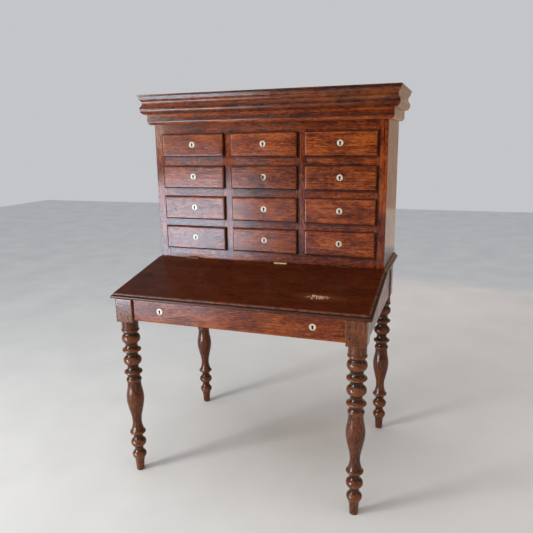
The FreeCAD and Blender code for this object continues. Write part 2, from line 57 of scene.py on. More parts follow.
# %% Camera
eye = (0.767, -2.131, 1.3775)
turned_left, nodded_down, rolled = math.radians(19.503), math.radians(13.028), math.radians(-0.878)
lens = bpy.data.cameras.new("camera")
lens.lens = 36.82
lens.clip_end = 50.0
camera = bpy.data.objects.new("camera", lens)
camera.matrix_world = (
    Matrix.Translation(eye)
    @ Matrix.Rotation(turned_left, 4, "Z")
    @ Matrix.Rotation(math.pi / 2 - nodded_down, 4, "X")
    @ Matrix.Rotation(rolled, 4, "Z")
)
scene.collection.objects.link(camera)
scene.camera = camera
print("camera at", eye, "with a", lens.lens, "mm lens")

# %% [markdown]
# ## The light
# A window stands in front and to the left. It lights the fronts from the side, so every drawer throws a shadow
# to its right. What the varnish of the left column mirrors is a second, cooler pane lower down, which lights
# gloss and nothing else. A lamp low in front fills without a reflection, a warm room lies on the right, and a
# wall behind the desk sends back warm light.

# %% Lamps
def soft_lamp(name, place, target, size, watts, colour):
    """Rectangular lamp of the given width and height at a place, turned to face a target."""
    data = bpy.data.lights.new(name, "AREA")
    data.shape = "RECTANGLE"
    data.size, data.size_y = size
    data.energy = watts
    data.color = colour
    lamp = bpy.data.objects.new(name, data)
    back = Vector(place) - Vector(target)
    lamp.matrix_world = Matrix.Translation(place) @ back.to_track_quat("Z", "Y").to_matrix().to_4x4()
    lamp.visible_camera = False
    scene.collection.objects.link(lamp)
    return lamp


glare = soft_lamp("window_glare", (-1.76, -2.55, 0.52), (-0.1, 0.0, 0.85), (1.2, 0.96), 105.0, (0.72, 0.84, 1.0))
glare.visible_diffuse = False
soft_lamp("window", (-2.6, -2.6, 1.8), (0.0, 0.0, 0.9), (0.8, 1.0), 84.0, (1.0, 0.94, 0.84))
fill = soft_lamp("low_fill", (-0.4, -3.4, 0.8), (0.0, 0.0, 0.9), (1.4, 1.0), 9.0, (1.0, 0.92, 0.80))
fill.visible_glossy = False
soft_lamp("warm_room", (2.9, -0.9, 1.6), (0.3, 0.2, 0.9), (1.6, 1.6), 10.0, (1.0, 0.70, 0.40))
soft_lamp("pale_wall", (0.6, 3.2, 1.4), (0.2, 0.0, 0.9), (3.2, 2.2), 8.0, (1.0, 0.56, 0.26))

# %% [markdown]
# ## Light from above, and the room
# A very wide sun stands for a bright ceiling. The room has two brightnesses: the camera sees a pale wall, and
# everything else gets less light from it, so that the shadows stay.

# %% Light from above, and the pale room
overhead_data = bpy.data.lights.new("overhead", "SUN")
overhead_data.energy = 1.3
overhead_data.angle = math.radians(70)
overhead_data.color = (1.0, 0.99, 0.97)
overhead = bpy.data.objects.new("overhead", overhead_data)
overhead.rotation_euler = (math.radians(16), math.radians(-14), 0.0)
scene.collection.objects.link(overhead)

sky = bpy.data.worlds.new("pale_room")
sky.use_nodes = True
room = sky.node_tree
dim = room.nodes["Background"]
dim.inputs["Color"].default_value = (0.95, 0.96, 1.0, 1.0)
dim.inputs["Strength"].default_value = 0.18
seen = room.nodes.new("ShaderNodeBackground")
seen.inputs["Color"].default_value = (0.55, 0.56, 0.585, 1.0)
either = room.nodes.new("ShaderNodeMixShader")
room.links.new(room.nodes.new("ShaderNodeLightPath").outputs["Is Camera Ray"], either.inputs[0])
room.links.new(dim.outputs[0], either.inputs[1])
room.links.new(seen.outputs[0], either.inputs[2])
room.links.new(either.outputs[0], room.nodes["World Output"].inputs["Surface"])
scene.world = sky
scene.view_settings.view_transform = "Standard"
print("the ceiling gives", overhead_data.energy, "watts per square metre")

# %% [markdown]
# ## Pieces made of rings
# Nearly everything here can be described by closed rings that are stacked along a direction: a board, a
# drawer front with its rounded edges, a moulded top, a turned leg. So one function turns a grid of points,
# ring after ring, into a closed surface. Each point also carries where it lies in its own board, how worn it is,
# which below zero also stands for dirt and painted shade, and the tone of its board, and the materials read
# these three.

# %% From a grid of rings to a closed part
chance = np.random.default_rng(1880)


def enclosed_volume(grid, wrap):
    """Sum over the grid's triangles of a third of (corner . area vector), with a flat fan over each open end."""
    a, b = grid, np.roll(grid, -1, axis=1)
    rings = np.roll(grid, -1, axis=0) if wrap else grid[1:]
    a, b = (a, b) if wrap else (a[:-1], b[:-1])
    c, d = np.roll(rings, -1, axis=1), rings
    total = (a * np.cross(b, c)).sum() + (a * np.cross(c, d)).sum()
    if not wrap:
        for ring, sign in ((grid[0], -1), (grid[-1], 1)):
            total += sign * (ring.mean(0) * np.cross(ring, np.roll(ring, -1, axis=0))).sum()
    return total / 6


def rings_part(grid, along=0, worn=0.0, tone=None, wrap=False, pith=None, shift=None):
    """Closed part from rings of shape (rings, points, 3). Neighbouring rings are joined by quads, and the
    first and last ring are closed by a flat face, or joined to each other where wrap is true. The grain
    coordinates are the points about the part's middle, reordered so that the first runs along the grain,
    and moved so that the heart of the tree lies outside the board."""
    grid = np.asarray(grid, float)
    rings, around, _ = grid.shape
    index = np.arange(rings * around).reshape(rings, around)
    lower, upper = (index, np.roll(index, -1, axis=0)) if wrap else (index[:-1], index[1:])
    quads = np.stack([lower, np.roll(lower, -1, 1), np.roll(upper, -1, 1), upper], -1).reshape(-1, 4)
    caps = [] if wrap else [index[0, ::-1], index[-1]]
    if enclosed_volume(grid, wrap) < 0:
        quads, caps = quads[:, ::-1], [cap[::-1] for cap in caps]
    points = grid.reshape(-1, 3)
    low, high = points.min(0), points.max(0)
    others = sorted((i for i in range(3) if i != along), key=lambda i: -(high - low)[i])
    local = (points - (low + high) / 2)[:, [along, *others]]
    if pith is None:
        pith = (chance.uniform(-0.06, 0.06), chance.uniform(0.03, 0.14))
    if shift is None:
        shift = chance.uniform(-9, 9)
    tone = chance.uniform(0, 1) if tone is None else tone
    return {
        "points": points,
        "faces": quads.tolist() + [cap.tolist() for cap in caps],
        "grain": local + np.array([shift, *pith]),
        "worn": np.broadcast_to(worn, (rings, around)).reshape(-1),
        "tone": np.full(len(points), tone),
    }


# %% From parts to a Blender object that rides a body
def make_piece(name, parts, material, body, replaces=(), sharp=32.0, even=True):
    """One mesh object out of several closed parts. Edges that turn by more than sharp degrees stay crisp, and
    even shading keeps the wide faces flat."""
    starts = np.cumsum([0] + [len(p["points"]) for p in parts])
    faces = [[i + int(s) for i in face] for p, s in zip(parts, starts) for face in p["faces"]]
    mesh = bpy.data.meshes.new(name)
    mesh.from_pydata(np.concatenate([p["points"] for p in parts]).tolist(), [], faces)
    grain = mesh.attributes.new("grain", "FLOAT_VECTOR", "POINT")
    grain.data.foreach_set("vector", np.concatenate([p["grain"] for p in parts]).astype(np.float32).ravel())
    for key in ("worn", "tone"):
        values = np.concatenate([p[key] for p in parts]).astype(np.float32)
        mesh.attributes.new(key, "FLOAT", "POINT").data.foreach_set("value", values)
    mesh.polygons.foreach_set("use_smooth", [True] * len(mesh.polygons))
    mesh.set_sharp_from_angle(angle=math.radians(sharp))
    mesh.materials.append(material)
    piece = bpy.data.objects.new(name, mesh)
    scene.collection.objects.link(piece)
    if even:
        piece.modifiers.new("even_shading", "WEIGHTED_NORMAL").keep_sharp = True
    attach(piece, body)
    if replaces:
        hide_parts(*replaces)
    return piece


# %% [markdown]
# ## Outlines with eased corners
# Nobody leaves a sharp corner on furniture, and a century of hands rounds it more. An outline here is a
# polygon whose corners are small arcs. Two extra points stand near every corner, so that wear can stay in
# the few millimetres beside an edge instead of fading across the whole board.

# %% Outline, and the stack of outlines
arc_share = np.array([0.0, 1 / 3, 2 / 3, 1.0])


def outline(corners, soft=0.0008, rim=0.004, fill=0, weights=None):
    """Polygon with its corners, given anticlockwise, eased to the radius soft. Returns for every point its
    place, the outward normal, the move that takes each edge inwards by its weight, and how worn it is.
    A corner's arc has its centre one radius inside both edges: corner - soft (n1 + n2) / (1 + n1 . n2).
    Its move m solves m . n1 = weight 1 and m . n2 = weight 2."""
    corners = np.asarray(corners, float)
    edge = np.roll(corners, -1, 0) - corners
    length = np.linalg.norm(edge, axis=1)
    run = edge / length[:, None]
    after = np.stack([run[:, 1], -run[:, 0]], 1)
    before = np.roll(after, 1, 0)
    cosine = (before * after).sum(1)[:, None]
    turn = np.arctan2(before[:, 0] * after[:, 1] - before[:, 1] * after[:, 0], cosine[:, 0])
    radius = soft * np.sign(turn)
    centre = corners - radius[:, None] * (before + after) / (1 + cosine)
    weights = np.ones(len(corners)) if weights is None else np.asarray(weights, float)
    w_after, w_before = weights[:, None], np.roll(weights, 1)[:, None]
    move = (w_before * (before - cosine * after) + w_after * (after - cosine * before)) / (1 - cosine**2)
    angle = np.arctan2(before[:, 1], before[:, 0])[:, None] + turn[:, None] * arc_share
    normal = np.stack([np.cos(angle), np.sin(angle)], -1)
    arc = centre[:, None] + radius[:, None, None] * normal
    reach = np.minimum(rim, 0.42 * (length - 2 * soft))[:, None]
    start = arc[:, 3] + reach * run
    stop = np.roll(arc[:, 0], -1, 0) - reach * run
    share = np.linspace(0, 1, fill + 2)[None, :, None]
    flat = start[:, None] * (1 - share) + stop[:, None] * share
    flat_move = move[:, None] * (1 - share) + np.roll(move, -1, 0)[:, None] * share
    place = np.concatenate([arc, flat], 1).reshape(-1, 2)
    normal = np.concatenate([normal, np.repeat(after[:, None], fill + 2, 1)], 1).reshape(-1, 2)
    move = np.concatenate([np.repeat(move[:, None], 4, 1), flat_move], 1).reshape(-1, 2)
    worn = np.sign(turn)[:, None] * np.array([0.8, 1.0, 1.0, 0.8] + [0.0] * (fill + 2))
    return place, normal, move, worn.reshape(-1)


def stack(shape, rows, axis):
    """Rings for an outline carried along an axis. A row is (height, easing, inset, worn): every point moves
    by -easing along its normal and by -inset along its move. Where a row's wear is nan, the outline's own
    holds. The outline's own two directions are the other two axes, in order."""
    place, normal, move, worn = shape
    rows = np.asarray(rows, float)
    flat = place - rows[:, 1, None, None] * normal - rows[:, 2, None, None] * move
    height = np.broadcast_to(rows[:, 0, None, None], (*flat.shape[:2], 1))
    across = [i for i in range(3) if i != axis]
    grid = np.empty((*flat.shape[:2], 3))
    grid[..., across] = flat
    grid[..., [axis]] = height
    row_worn = rows[:, 3, None]
    return grid, np.where(np.isnan(row_worn), worn, row_worn)


# %% Boards
ease_share = np.array([[0.0, 0.74, 0.9], [0.36, 0.23, 1.0], [1.0, 0.0, 0.8]])


def eased_end(start, inwards, soft, rim):
    """Rows for one end of a board: a quarter round of radius soft in three steps, then the rim."""
    rows = [(start + inwards * soft * a, soft * b, 0.0, w) for a, b, w in ease_share]
    return rows + [(start + inwards * (soft + rim), 0.0, 0.0, np.nan)]


def eased_rows(start, stop, soft, rim, middle=()):
    """Rows from one eased end to the other, with the given rows between."""
    return eased_end(start, 1, soft, rim) + list(middle) + eased_end(stop, -1, soft, rim)[::-1]


def prism(corners, start, stop, axis, soft=0.0008, rim=0.004):
    """Rings and wear of a polygon carried along an axis, with all its edges eased."""
    return stack(outline(corners, soft, rim), eased_rows(start, stop, soft, rim), axis)


def rectangle(left, near, right, far):
    """Corners of a rectangle, anticlockwise."""
    return [(left, near), (right, near), (right, far), (left, far)]


def board(low, high, along=None, soft=0.0008, rim=0.004, **finish):
    """Rectangular board between two corners with all its edges eased, its grain along its length."""
    axis = int(np.argmax(np.asarray(high, float) - np.asarray(low, float)))
    u, v = (i for i in range(3) if i != axis)
    corners = rectangle(low[u], low[v], high[u], high[v])
    grid, worn = prism(corners, low[axis], high[axis], axis, soft, rim)
    return rings_part(grid, axis if along is None else along, worn, **finish)


print("a trial board has", len(board((0, 0, 0), (0.3, 0.1, 0.02))["faces"]), "faces")

# %% [markdown]
# ## What the materials share: grain
# Wood is a solid pattern, so the grain is worked out in space and not painted on a face. Yearly rings lie
# round the heart of the tree, which is a line along the board and outside it. Fibres and pores are noise
# drawn out along the grain. Knots are scattered with a Voronoi pattern, of which only some cells have one.

# %% Helpers for node trees
def add_node(tree, kind, links=None, **settings):
    """New node with its settings, and its inputs either linked to an output or given a value."""
    made = tree.nodes.new(kind)
    for key, value in settings.items():
        setattr(made, key, value)
    for key, value in (links or {}).items():
        if isinstance(value, bpy.types.NodeSocket):
            tree.links.new(value, made.inputs[key])
        else:
            made.inputs[key].default_value = value
    return made


def maths(tree, operation, a, b=0.0, clamp=False):
    """Output of a Math node."""
    return add_node(tree, "ShaderNodeMath", {0: a, 1: b}, operation=operation, use_clamp=clamp).outputs[0]


def spread(tree, value, low, high, to_low=0.0, to_high=1.0):
    """Map a value from one range to another, held at the ends."""
    settings = {"Value": value, "From Min": low, "From Max": high, "To Min": to_low, "To Max": to_high}
    return add_node(tree, "ShaderNodeMapRange", settings).outputs["Result"]


def stretch(tree, vector, scale):
    """Vector scaled apart in its three directions."""
    return add_node(tree, "ShaderNodeMapping", {"Vector": vector, "Scale": scale}).outputs["Vector"]


def blend_colour(tree, share, a, b, how="MIX"):
    """Colour output of a Mix node."""
    return add_node(tree, "ShaderNodeMix", {0: share, 6: a, 7: b}, data_type="RGBA", blend_type=how).outputs[2]


def noise(tree, vector, scale=1.0, detail=2.0, roughness=0.5, distortion=0.0):
    """Factor of a Noise texture."""
    settings = {"Vector": vector, "Scale": scale, "Detail": detail, "Roughness": roughness,
                "Distortion": distortion}
    return add_node(tree, "ShaderNodeTexNoise", settings).outputs["Fac"]


def weighted(tree, node, shares, start=0.0):
    """A starting value plus each named output of a node times its share."""
    for output, share in shares.items():
        start = add_node(tree, "ShaderNodeMath", {0: node.outputs[output], 1: share, 2: start},
                         operation="MULTIPLY_ADD").outputs[0]
    return start


def attribute(tree, name, output="Fac"):
    """What the mesh holds under a name."""
    return add_node(tree, "ShaderNodeAttribute", attribute_name=name).outputs[output]


def object_place(tree):
    """Object coordinates."""
    return add_node(tree, "ShaderNodeTexCoord").outputs["Object"]


def new_group(name, inputs, outputs):
    """Empty shader node group with the named inputs and outputs, and its two end nodes."""
    group = bpy.data.node_groups.new(name, "ShaderNodeTree")
    for key, kind, default in inputs:
        socket = group.interface.new_socket(name=key, in_out="INPUT", socket_type=kind)
        if default is not None:
            socket.default_value = default
    for key, kind in outputs:
        group.interface.new_socket(name=key, in_out="OUTPUT", socket_type=kind)
    return group, group.nodes.new("NodeGroupInput"), group.nodes.new("NodeGroupOutput")


FLOAT, VECTOR, COLOUR = "NodeSocketFloat", "NodeSocketVector", "NodeSocketColor"

# %% Grain group
grain_group, given, result = new_group(
    "grain",
    [("Vector", VECTOR, None), ("Rings per metre", FLOAT, 190.0), ("Waviness", FLOAT, 7.0)],
    [(key, FLOAT) for key in ("Figure", "Fibres", "Pores", "Patches", "Mottle", "Knots", "Warp")],
)
g, vector = grain_group, given.outputs["Vector"]
ring_scale = maths(g, "MULTIPLY", given.outputs["Rings per metre"], math.pi / 10)
rings = add_node(
    g, "ShaderNodeTexWave",
    {"Vector": stretch(g, vector, (0.11, 1.0, 1.0)), "Scale": ring_scale, "Distortion": given.outputs["Waviness"],
     "Detail": 3.0, "Detail Scale": 0.16, "Detail Roughness": 0.55},
    wave_type="RINGS", rings_direction="X", wave_profile="SAW",
)
g.links.new(rings.outputs["Fac"], result.inputs["Figure"])
noises = {                  # how it is drawn out, its detail, roughness and distortion, and the range kept
    "Fibres": ((24.0, 420.0, 420.0), 4.0, 0.5, 0.0, (0.3, 0.7)),
    "Pores": ((75.0, 1100.0, 1100.0), 1.0, 0.5, 0.0, (0.60, 0.72)),
    "Patches": ((8.0, 20.0, 20.0), 3.0, 0.55, 0.0, (0.28, 0.72)),
    "Mottle": ((55.0, 190.0, 190.0), 4.0, 0.62, 0.25, (0.3, 0.7)),
}
for key, (drawn_out, *character, kept_range) in noises.items():
    value = noise(g, stretch(g, vector, drawn_out), 1.0, *character)
    g.links.new(spread(g, value, *kept_range), result.inputs[key])
knots = add_node(g, "ShaderNodeTexVoronoi",
                 {"Vector": stretch(g, vector, (5.0, 10.0, 10.0)), "Scale": 1.0, "Randomness": 1.0})
has_knot = spread(g, knots.outputs["Color"], 0.60, 0.62)
knot = maths(g, "MULTIPLY", spread(g, knots.outputs["Distance"], 0.11, 0.035), has_knot)
g.links.new(knot, result.inputs["Knots"])
g.links.new(noise(g, vector, 5.0, 1.0), result.inputs["Warp"])
print("grain group has", len(g.nodes), "nodes")

# %% [markdown]
# ## What the materials share: age
# Hands rub the varnish off the edges, and wax and dust stay in the hollows. The mask for both was laid down
# with the mesh: above zero on an edge, below zero in a hollow. Below zero it also paints shade: beside the drawer
# fronts, on the lips' sides, in the keyholes, in the lid's quirk and in the cornice's coves. Noise breaks it up,
# because wear is never even.

# %% Age group
age_group, given, result = new_group(
    "age",
    [("Colour", COLOUR, (0.2, 0.1, 0.05, 1)), ("Worn", FLOAT, 0.0), ("Vector", VECTOR, None),
     ("Rubbed colour", COLOUR, (0.4, 0.2, 0.1, 1)), ("Rubbed", FLOAT, 0.5), ("Dirt and shade", FLOAT, 0.7)],
    [("Colour", COLOUR), ("Bare", FLOAT)],
)
g = age_group
uneven = spread(g, noise(g, given.outputs["Vector"], 38.0, 4.0), 0.35, 0.65, 0.15, 1.0)
bare = maths(g, "MULTIPLY", maths(g, "MULTIPLY", given.outputs["Worn"], uneven, clamp=True),
             given.outputs["Rubbed"])
# How far the grime colour is mixed in: dirt, and painted shade where the mask was laid for shade.
hollow = maths(g, "MULTIPLY", maths(g, "MULTIPLY", given.outputs["Worn"], -1.0, clamp=True),
               given.outputs["Dirt and shade"])
rubbed = blend_colour(g, bare, given.outputs["Colour"], given.outputs["Rubbed colour"])
# Near black: dirt, and painted shade where the mask stands for shade.
grime_and_shade = (0.012, 0.006, 0.004, 1)
g.links.new(blend_colour(g, hollow, rubbed, grime_and_shade), result.inputs["Colour"])
g.links.new(bare, result.inputs["Bare"])
print("age group has", len(g.nodes), "nodes")

# %% [markdown]
# ## Varnished wood
# One function makes every wood, and only the colours, the gloss and the contrast differ. The bump holds the
# pores and fibres, and also wide, slow waves, because varnish on an old board mirrors a window unevenly.

# %% Wood materials
def new_material(name):
    """Material with an empty tree but for its Principled shader, and that shader."""
    made = bpy.data.materials.new(name)
    made.use_nodes = True
    return made, made.node_tree, made.node_tree.nodes["Principled BSDF"]


def place_group(tree, group, links):
    """The group as a node in a tree."""
    return add_node(tree, "ShaderNodeGroup", links, node_tree=group)


def recolour(material, blend):
    """Pass a material's base colour through a function of its tree and that colour."""
    tree, shader = material.node_tree, material.node_tree.nodes["Principled BSDF"]
    colour = shader.inputs["Base Color"].links[0].from_socket
    tree.links.new(blend(tree, colour), shader.inputs["Base Color"])


def wood(name, dark, middle, light, rubbed, roughness=0.28, coat=0.05, rings=190.0, wavy=7.0, contrast=1.0,
         rub=0.5, dirt_and_shade=0.7, turn=None, ring_share=0.16):
    """Varnished wood: a colour ramp over rings and fibres, patches, the tone of the board, pores, knots and
    age. Where turn is given, the grain is read from Object coordinates turned by it, for a CAD node."""
    made, tree, shader = new_material(name)
    if turn is None:
        where, worn, tone = attribute(tree, "grain", "Vector"), attribute(tree, "worn"), attribute(tree, "tone")
    else:
        settings = {"Vector": object_place(tree), "Location": (0.3, 0.07, 0.11), "Rotation": turn}
        where = add_node(tree, "ShaderNodeMapping", settings).outputs["Vector"]
        worn, tone = 0.0, 0.5
    grain = place_group(tree, grain_group, {"Vector": where, "Rings per metre": rings, "Waviness": wavy})
    figure = weighted(tree, grain, {"Figure": ring_share, "Fibres": 0.26, "Patches": 0.36, "Mottle": 0.38})
    average, span = 0.50 + ring_share / 2, 0.42 / contrast
    figure = spread(tree, figure, average - span, average + span)
    ramp = add_node(tree, "ShaderNodeValToRGB", {"Fac": figure})
    ramp.color_ramp.elements[0].color = (*dark, 1)
    ramp.color_ramp.elements[1].color = (*light, 1)
    ramp.color_ramp.elements.new(0.5).color = (*middle, 1)
    shade = spread(tree, tone, -0.5, 1.5, 0.44, 1.56)
    toned = blend_colour(tree, 1.0, ramp.outputs["Color"],
                         add_node(tree, "ShaderNodeCombineColor", {0: shade, 1: shade, 2: shade}).outputs[0],
                         "MULTIPLY")
    deep = tuple(0.35 * c for c in dark) + (1,)
    pored = blend_colour(tree, maths(tree, "MULTIPLY", grain.outputs["Pores"], 0.55), toned, deep)
    knotted = blend_colour(tree, maths(tree, "MULTIPLY", grain.outputs["Knots"], 0.85), pored, deep)
    age = place_group(tree, age_group, {"Colour": knotted, "Worn": worn, "Vector": where,
                                        "Rubbed colour": (*rubbed, 1), "Rubbed": rub, "Dirt and shade": dirt_and_shade})
    tree.links.new(age.outputs["Colour"], shader.inputs["Base Color"])
    gloss = weighted(tree, grain, {"Fibres": 0.10, "Patches": -0.10}, roughness - 0.05)
    tree.links.new(weighted(tree, age, {"Bare": 0.25}, gloss), shader.inputs["Roughness"])
    height = weighted(tree, grain, {"Pores": -0.35, "Fibres": 0.12, "Patches": 1.0, "Mottle": 0.55, "Warp": 4.5})
    bump = add_node(tree, "ShaderNodeBump", {"Height": height, "Strength": 0.30, "Distance": 0.0012})
    tree.links.new(bump.outputs["Normal"], shader.inputs["Normal"])
    shader.inputs["Coat Weight"].default_value = coat
    shader.inputs["Coat Roughness"].default_value = 0.12
    shader.inputs["Specular IOR Level"].default_value = 0.20
    return made


rubbed_oak = (0.46, 0.12, 0.028)
case_wood = wood("varnished_case_wood", (0.032, 0.0042, 0.0010), (0.145, 0.0235, 0.0040), (0.30, 0.064, 0.011),
                 rubbed_oak, roughness=0.17, contrast=1.9)
front_wood = wood("varnished_drawer_wood", (0.048, 0.0070, 0.0015), (0.180, 0.0315, 0.0050), (0.36, 0.086, 0.014),
                  rubbed_oak, roughness=0.17, wavy=9.0, contrast=1.9)
lid_wood = wood("dark_lid_wood", (0.022, 0.0045, 0.0018), (0.062, 0.0115, 0.0040), (0.110, 0.026, 0.009),
                (0.30, 0.10, 0.040), roughness=0.25, coat=0.0, rings=120.0, contrast=1.0)
leg_wood = wood("varnished_leg_wood", (0.038, 0.0095, 0.0036), (0.115, 0.031, 0.0105), (0.23, 0.074, 0.024),
                (0.36, 0.130, 0.045), roughness=0.18, coat=0.2, rings=150.0, rub=0.40, dirt_and_shade=0.85, contrast=1.4)
box_wood = wood("plain_box_wood", (0.17, 0.085, 0.042), (0.34, 0.19, 0.10), (0.47, 0.29, 0.16),
                (0.40, 0.25, 0.14), roughness=0.62, coat=0.0, dirt_and_shade=0.4)
print("woods:", [m.name for m in bpy.data.materials if "wood" in m.name])

# %% [markdown]
# ## A scuff on the lid
# The lid's right half has a scuff: scratches that are pale where the varnish has gone, and a patch of wood
# round them that is rubbed to orange.

# %% Scuff
def scuffed(tree, colour):
    """Fine drawn-out noise above a threshold that rises from an ellipse's middle to its rim, over a rubbed
    patch round it. The distance from the middle is counted in half lengths of the ellipse."""
    place, half = (0.306, -0.262, 0.816), (0.060, 0.019, 0.02)
    flat = object_place(tree)
    near = add_node(tree, "ShaderNodeVectorMath", {0: flat, 1: place}, operation="SUBTRACT").outputs[0]
    near = add_node(tree, "ShaderNodeVectorMath", {0: near, 1: half}, operation="DIVIDE").outputs[0]
    away = add_node(tree, "ShaderNodeVectorMath", {0: near}, operation="LENGTH").outputs["Value"]
    lines = noise(tree, stretch(tree, flat, (170, 60, 60)), distortion=1.2)
    threshold = spread(tree, away, 0.3, 1.5, 0.46, 0.80)
    mark = spread(tree, maths(tree, "SUBTRACT", lines, threshold), 0.0, 0.03, 0.0, 0.95)
    patched = blend_colour(tree, spread(tree, away, 1.9, 0.3, 0.0, 0.45), colour, (0.20, 0.060, 0.022, 1))
    return blend_colour(tree, mark, patched, (0.66, 0.46, 0.33, 1))


recolour(lid_wood, scuffed)
print("the scuff lies on", lid_wood.name)

# %% [markdown]
# ## Bone and metal
# The keyhole plates are turned from bone: cream, slightly streaked, darker round the keyhole where dirty
# fingers and keys have touched it, and dark on the keyhole's walls as painted shade. The locks are dull iron,
# the hinges brass that has gone brown.

# %% Bone, iron and brass
def plain_finish(name, colours, metallic, roughness, scale, bump=0.2, coat=0.0, dirt_and_shade=0.0):
    """Finish mottled between two colours by noise on the piece's own attribute or on Object coordinates."""
    made, tree, shader = new_material(name)
    flat = object_place(tree)
    mottle = noise(tree, stretch(tree, flat, scale), detail=5.0, roughness=0.6)
    colour = blend_colour(tree, spread(tree, mottle, 0.35, 0.65), (*colours[0], 1), (*colours[1], 1))
    if dirt_and_shade:
        age = place_group(tree, age_group, {"Colour": colour, "Worn": attribute(tree, "worn"), "Vector": flat,
                                            "Rubbed": 0.0, "Dirt and shade": dirt_and_shade})
        colour = age.outputs["Colour"]
    tree.links.new(colour, shader.inputs["Base Color"])
    gloss = spread(tree, mottle, 0.3, 0.7, roughness - 0.1, roughness + 0.1)
    tree.links.new(gloss, shader.inputs["Roughness"])
    raised = add_node(tree, "ShaderNodeBump", {"Height": mottle, "Strength": bump, "Distance": 0.0004})
    tree.links.new(raised.outputs["Normal"], shader.inputs["Normal"])
    shader.inputs["Metallic"].default_value = metallic
    shader.inputs["Coat Weight"].default_value = coat
    return made


bone = plain_finish("turned_bone", ((0.60, 0.52, 0.38), (0.80, 0.74, 0.60)), 0.0, 0.35, (60, 60, 300),
                    coat=0.3, dirt_and_shade=0.9)
iron = plain_finish("lock_iron", ((0.10, 0.085, 0.075), (0.22, 0.20, 0.18)), 0.85, 0.5, (220, 220, 220), 0.5)
key_iron = plain_finish("key_iron", ((0.035, 0.03, 0.028), (0.10, 0.09, 0.085)), 0.9, 0.42, (400, 400, 400),
                        0.5)
brass = plain_finish("old_brass", ((0.32, 0.22, 0.10), (0.62, 0.47, 0.24)), 1.0, 0.38, (150, 150, 150), 0.3)
bright_hinge_x = 0.072


def browned(tree, colour):
    """Nearly as dark as the lid, except near the bright hinge."""
    across = add_node(tree, "ShaderNodeSeparateXYZ", {0: object_place(tree)}).outputs["X"]
    from_bright = maths(tree, "ABSOLUTE", maths(tree, "SUBTRACT", across, bright_hinge_x))
    return blend_colour(tree, spread(tree, from_bright, 0.05, 0.10, 0.0, 0.93), colour, (0.035, 0.016, 0.010, 1))


recolour(brass, browned)
print("finishes:", bone.name, iron.name, key_iron.name, brass.name)

# %% [markdown]
# ## The floor
# A pale painted floor that only catches the shadows. It isn't part of the desk.

# %% Floor
floor_half = 9.0
floor_paint = plain_finish("painted_floor", ((0.76, 0.79, 0.825), (0.80, 0.83, 0.86)), 0.0, 0.5, (3, 3, 3), 0.05)
floor_corners = rectangle(-floor_half, -floor_half, floor_half, floor_half)
floor_mesh = bpy.data.meshes.new("floor")
floor_mesh.from_pydata([(x, y, 0) for x, y in floor_corners], [], [(0, 1, 2, 3)])
floor_mesh.materials.append(floor_paint)
floor = bpy.data.objects.new("floor", floor_mesh)
scene.collection.objects.link(floor)
print("the floor is", 2 * floor_half, "metres wide")

# %% [markdown]
# ## Where the drawers are
# The twelve fronts give the whole grid of the case: the frame shows between them, and each front laps over
# its opening by a lip. So the rails and uprights are worked out from the boxes of the drawers.

# %% The grid of fronts
rows, columns = range(1, 5), range(1, 4)
lip = 0.008                 # a front laps over the edge of its opening
lip_thick = 0.012           # and stands this far in front of the frame
plug_thick = 0.010          # the part of the front inside the opening
front_gap = 0.0003          # between the lip and the frame
side_thick = 0.020
drawer_box = {(r, c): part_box(f"drawer_r{r}c{c}") for r in rows for c in columns}
shell_low, shell_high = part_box("case_shell")
frame_low, frame_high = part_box("face_frame")
print("the first front measures", [round(x, 4) for x in drawer_box[1, 1][1] - drawer_box[1, 1][0]])

# %% [markdown]
# ## The face frame
# Two full-height stiles, a top and a bottom rail, two muntins between them and a short rail between each
# pair of drawers: fifteen boards, each with its own piece of grain. The joints show as fine lines because
# every edge is eased.

# %% Painted shade round the fronts, and a board that holds it
def painted_shade_beside_fronts(x, z, reach=0.0048, aside=0.0026):
    """Painted shade: minus one beside a drawer front and nought away from it: -exp(-(d / reach)^2), where d is
    the distance outside the nearest front's rectangle, and the rectangles are slid aside to the right and down,
    to where the fronts' shadows fall."""
    boxes = np.array([[low.x + aside, high.x + aside, low.z - aside, high.z - aside]
                      for low, high in drawer_box.values()])
    x, z = x[:, None], z[:, None]
    across = np.maximum(np.maximum(boxes[:, 0] - x, x - boxes[:, 1]), 0)
    upright = np.maximum(np.maximum(boxes[:, 2] - z, z - boxes[:, 3]), 0)
    return -np.exp(-((np.hypot(across, upright).min(1) / reach) ** 2))


bolt_travel, bolt_clear = 0.008, 0.0017
pocket_spare = 0.001        # the pocket is this much deeper than the bolt's travel
wall_slant = 0.0003         # a pocket's walls lean by this much
frame_soft, frame_rim = 0.0006, 0.003
hair = 1e-5


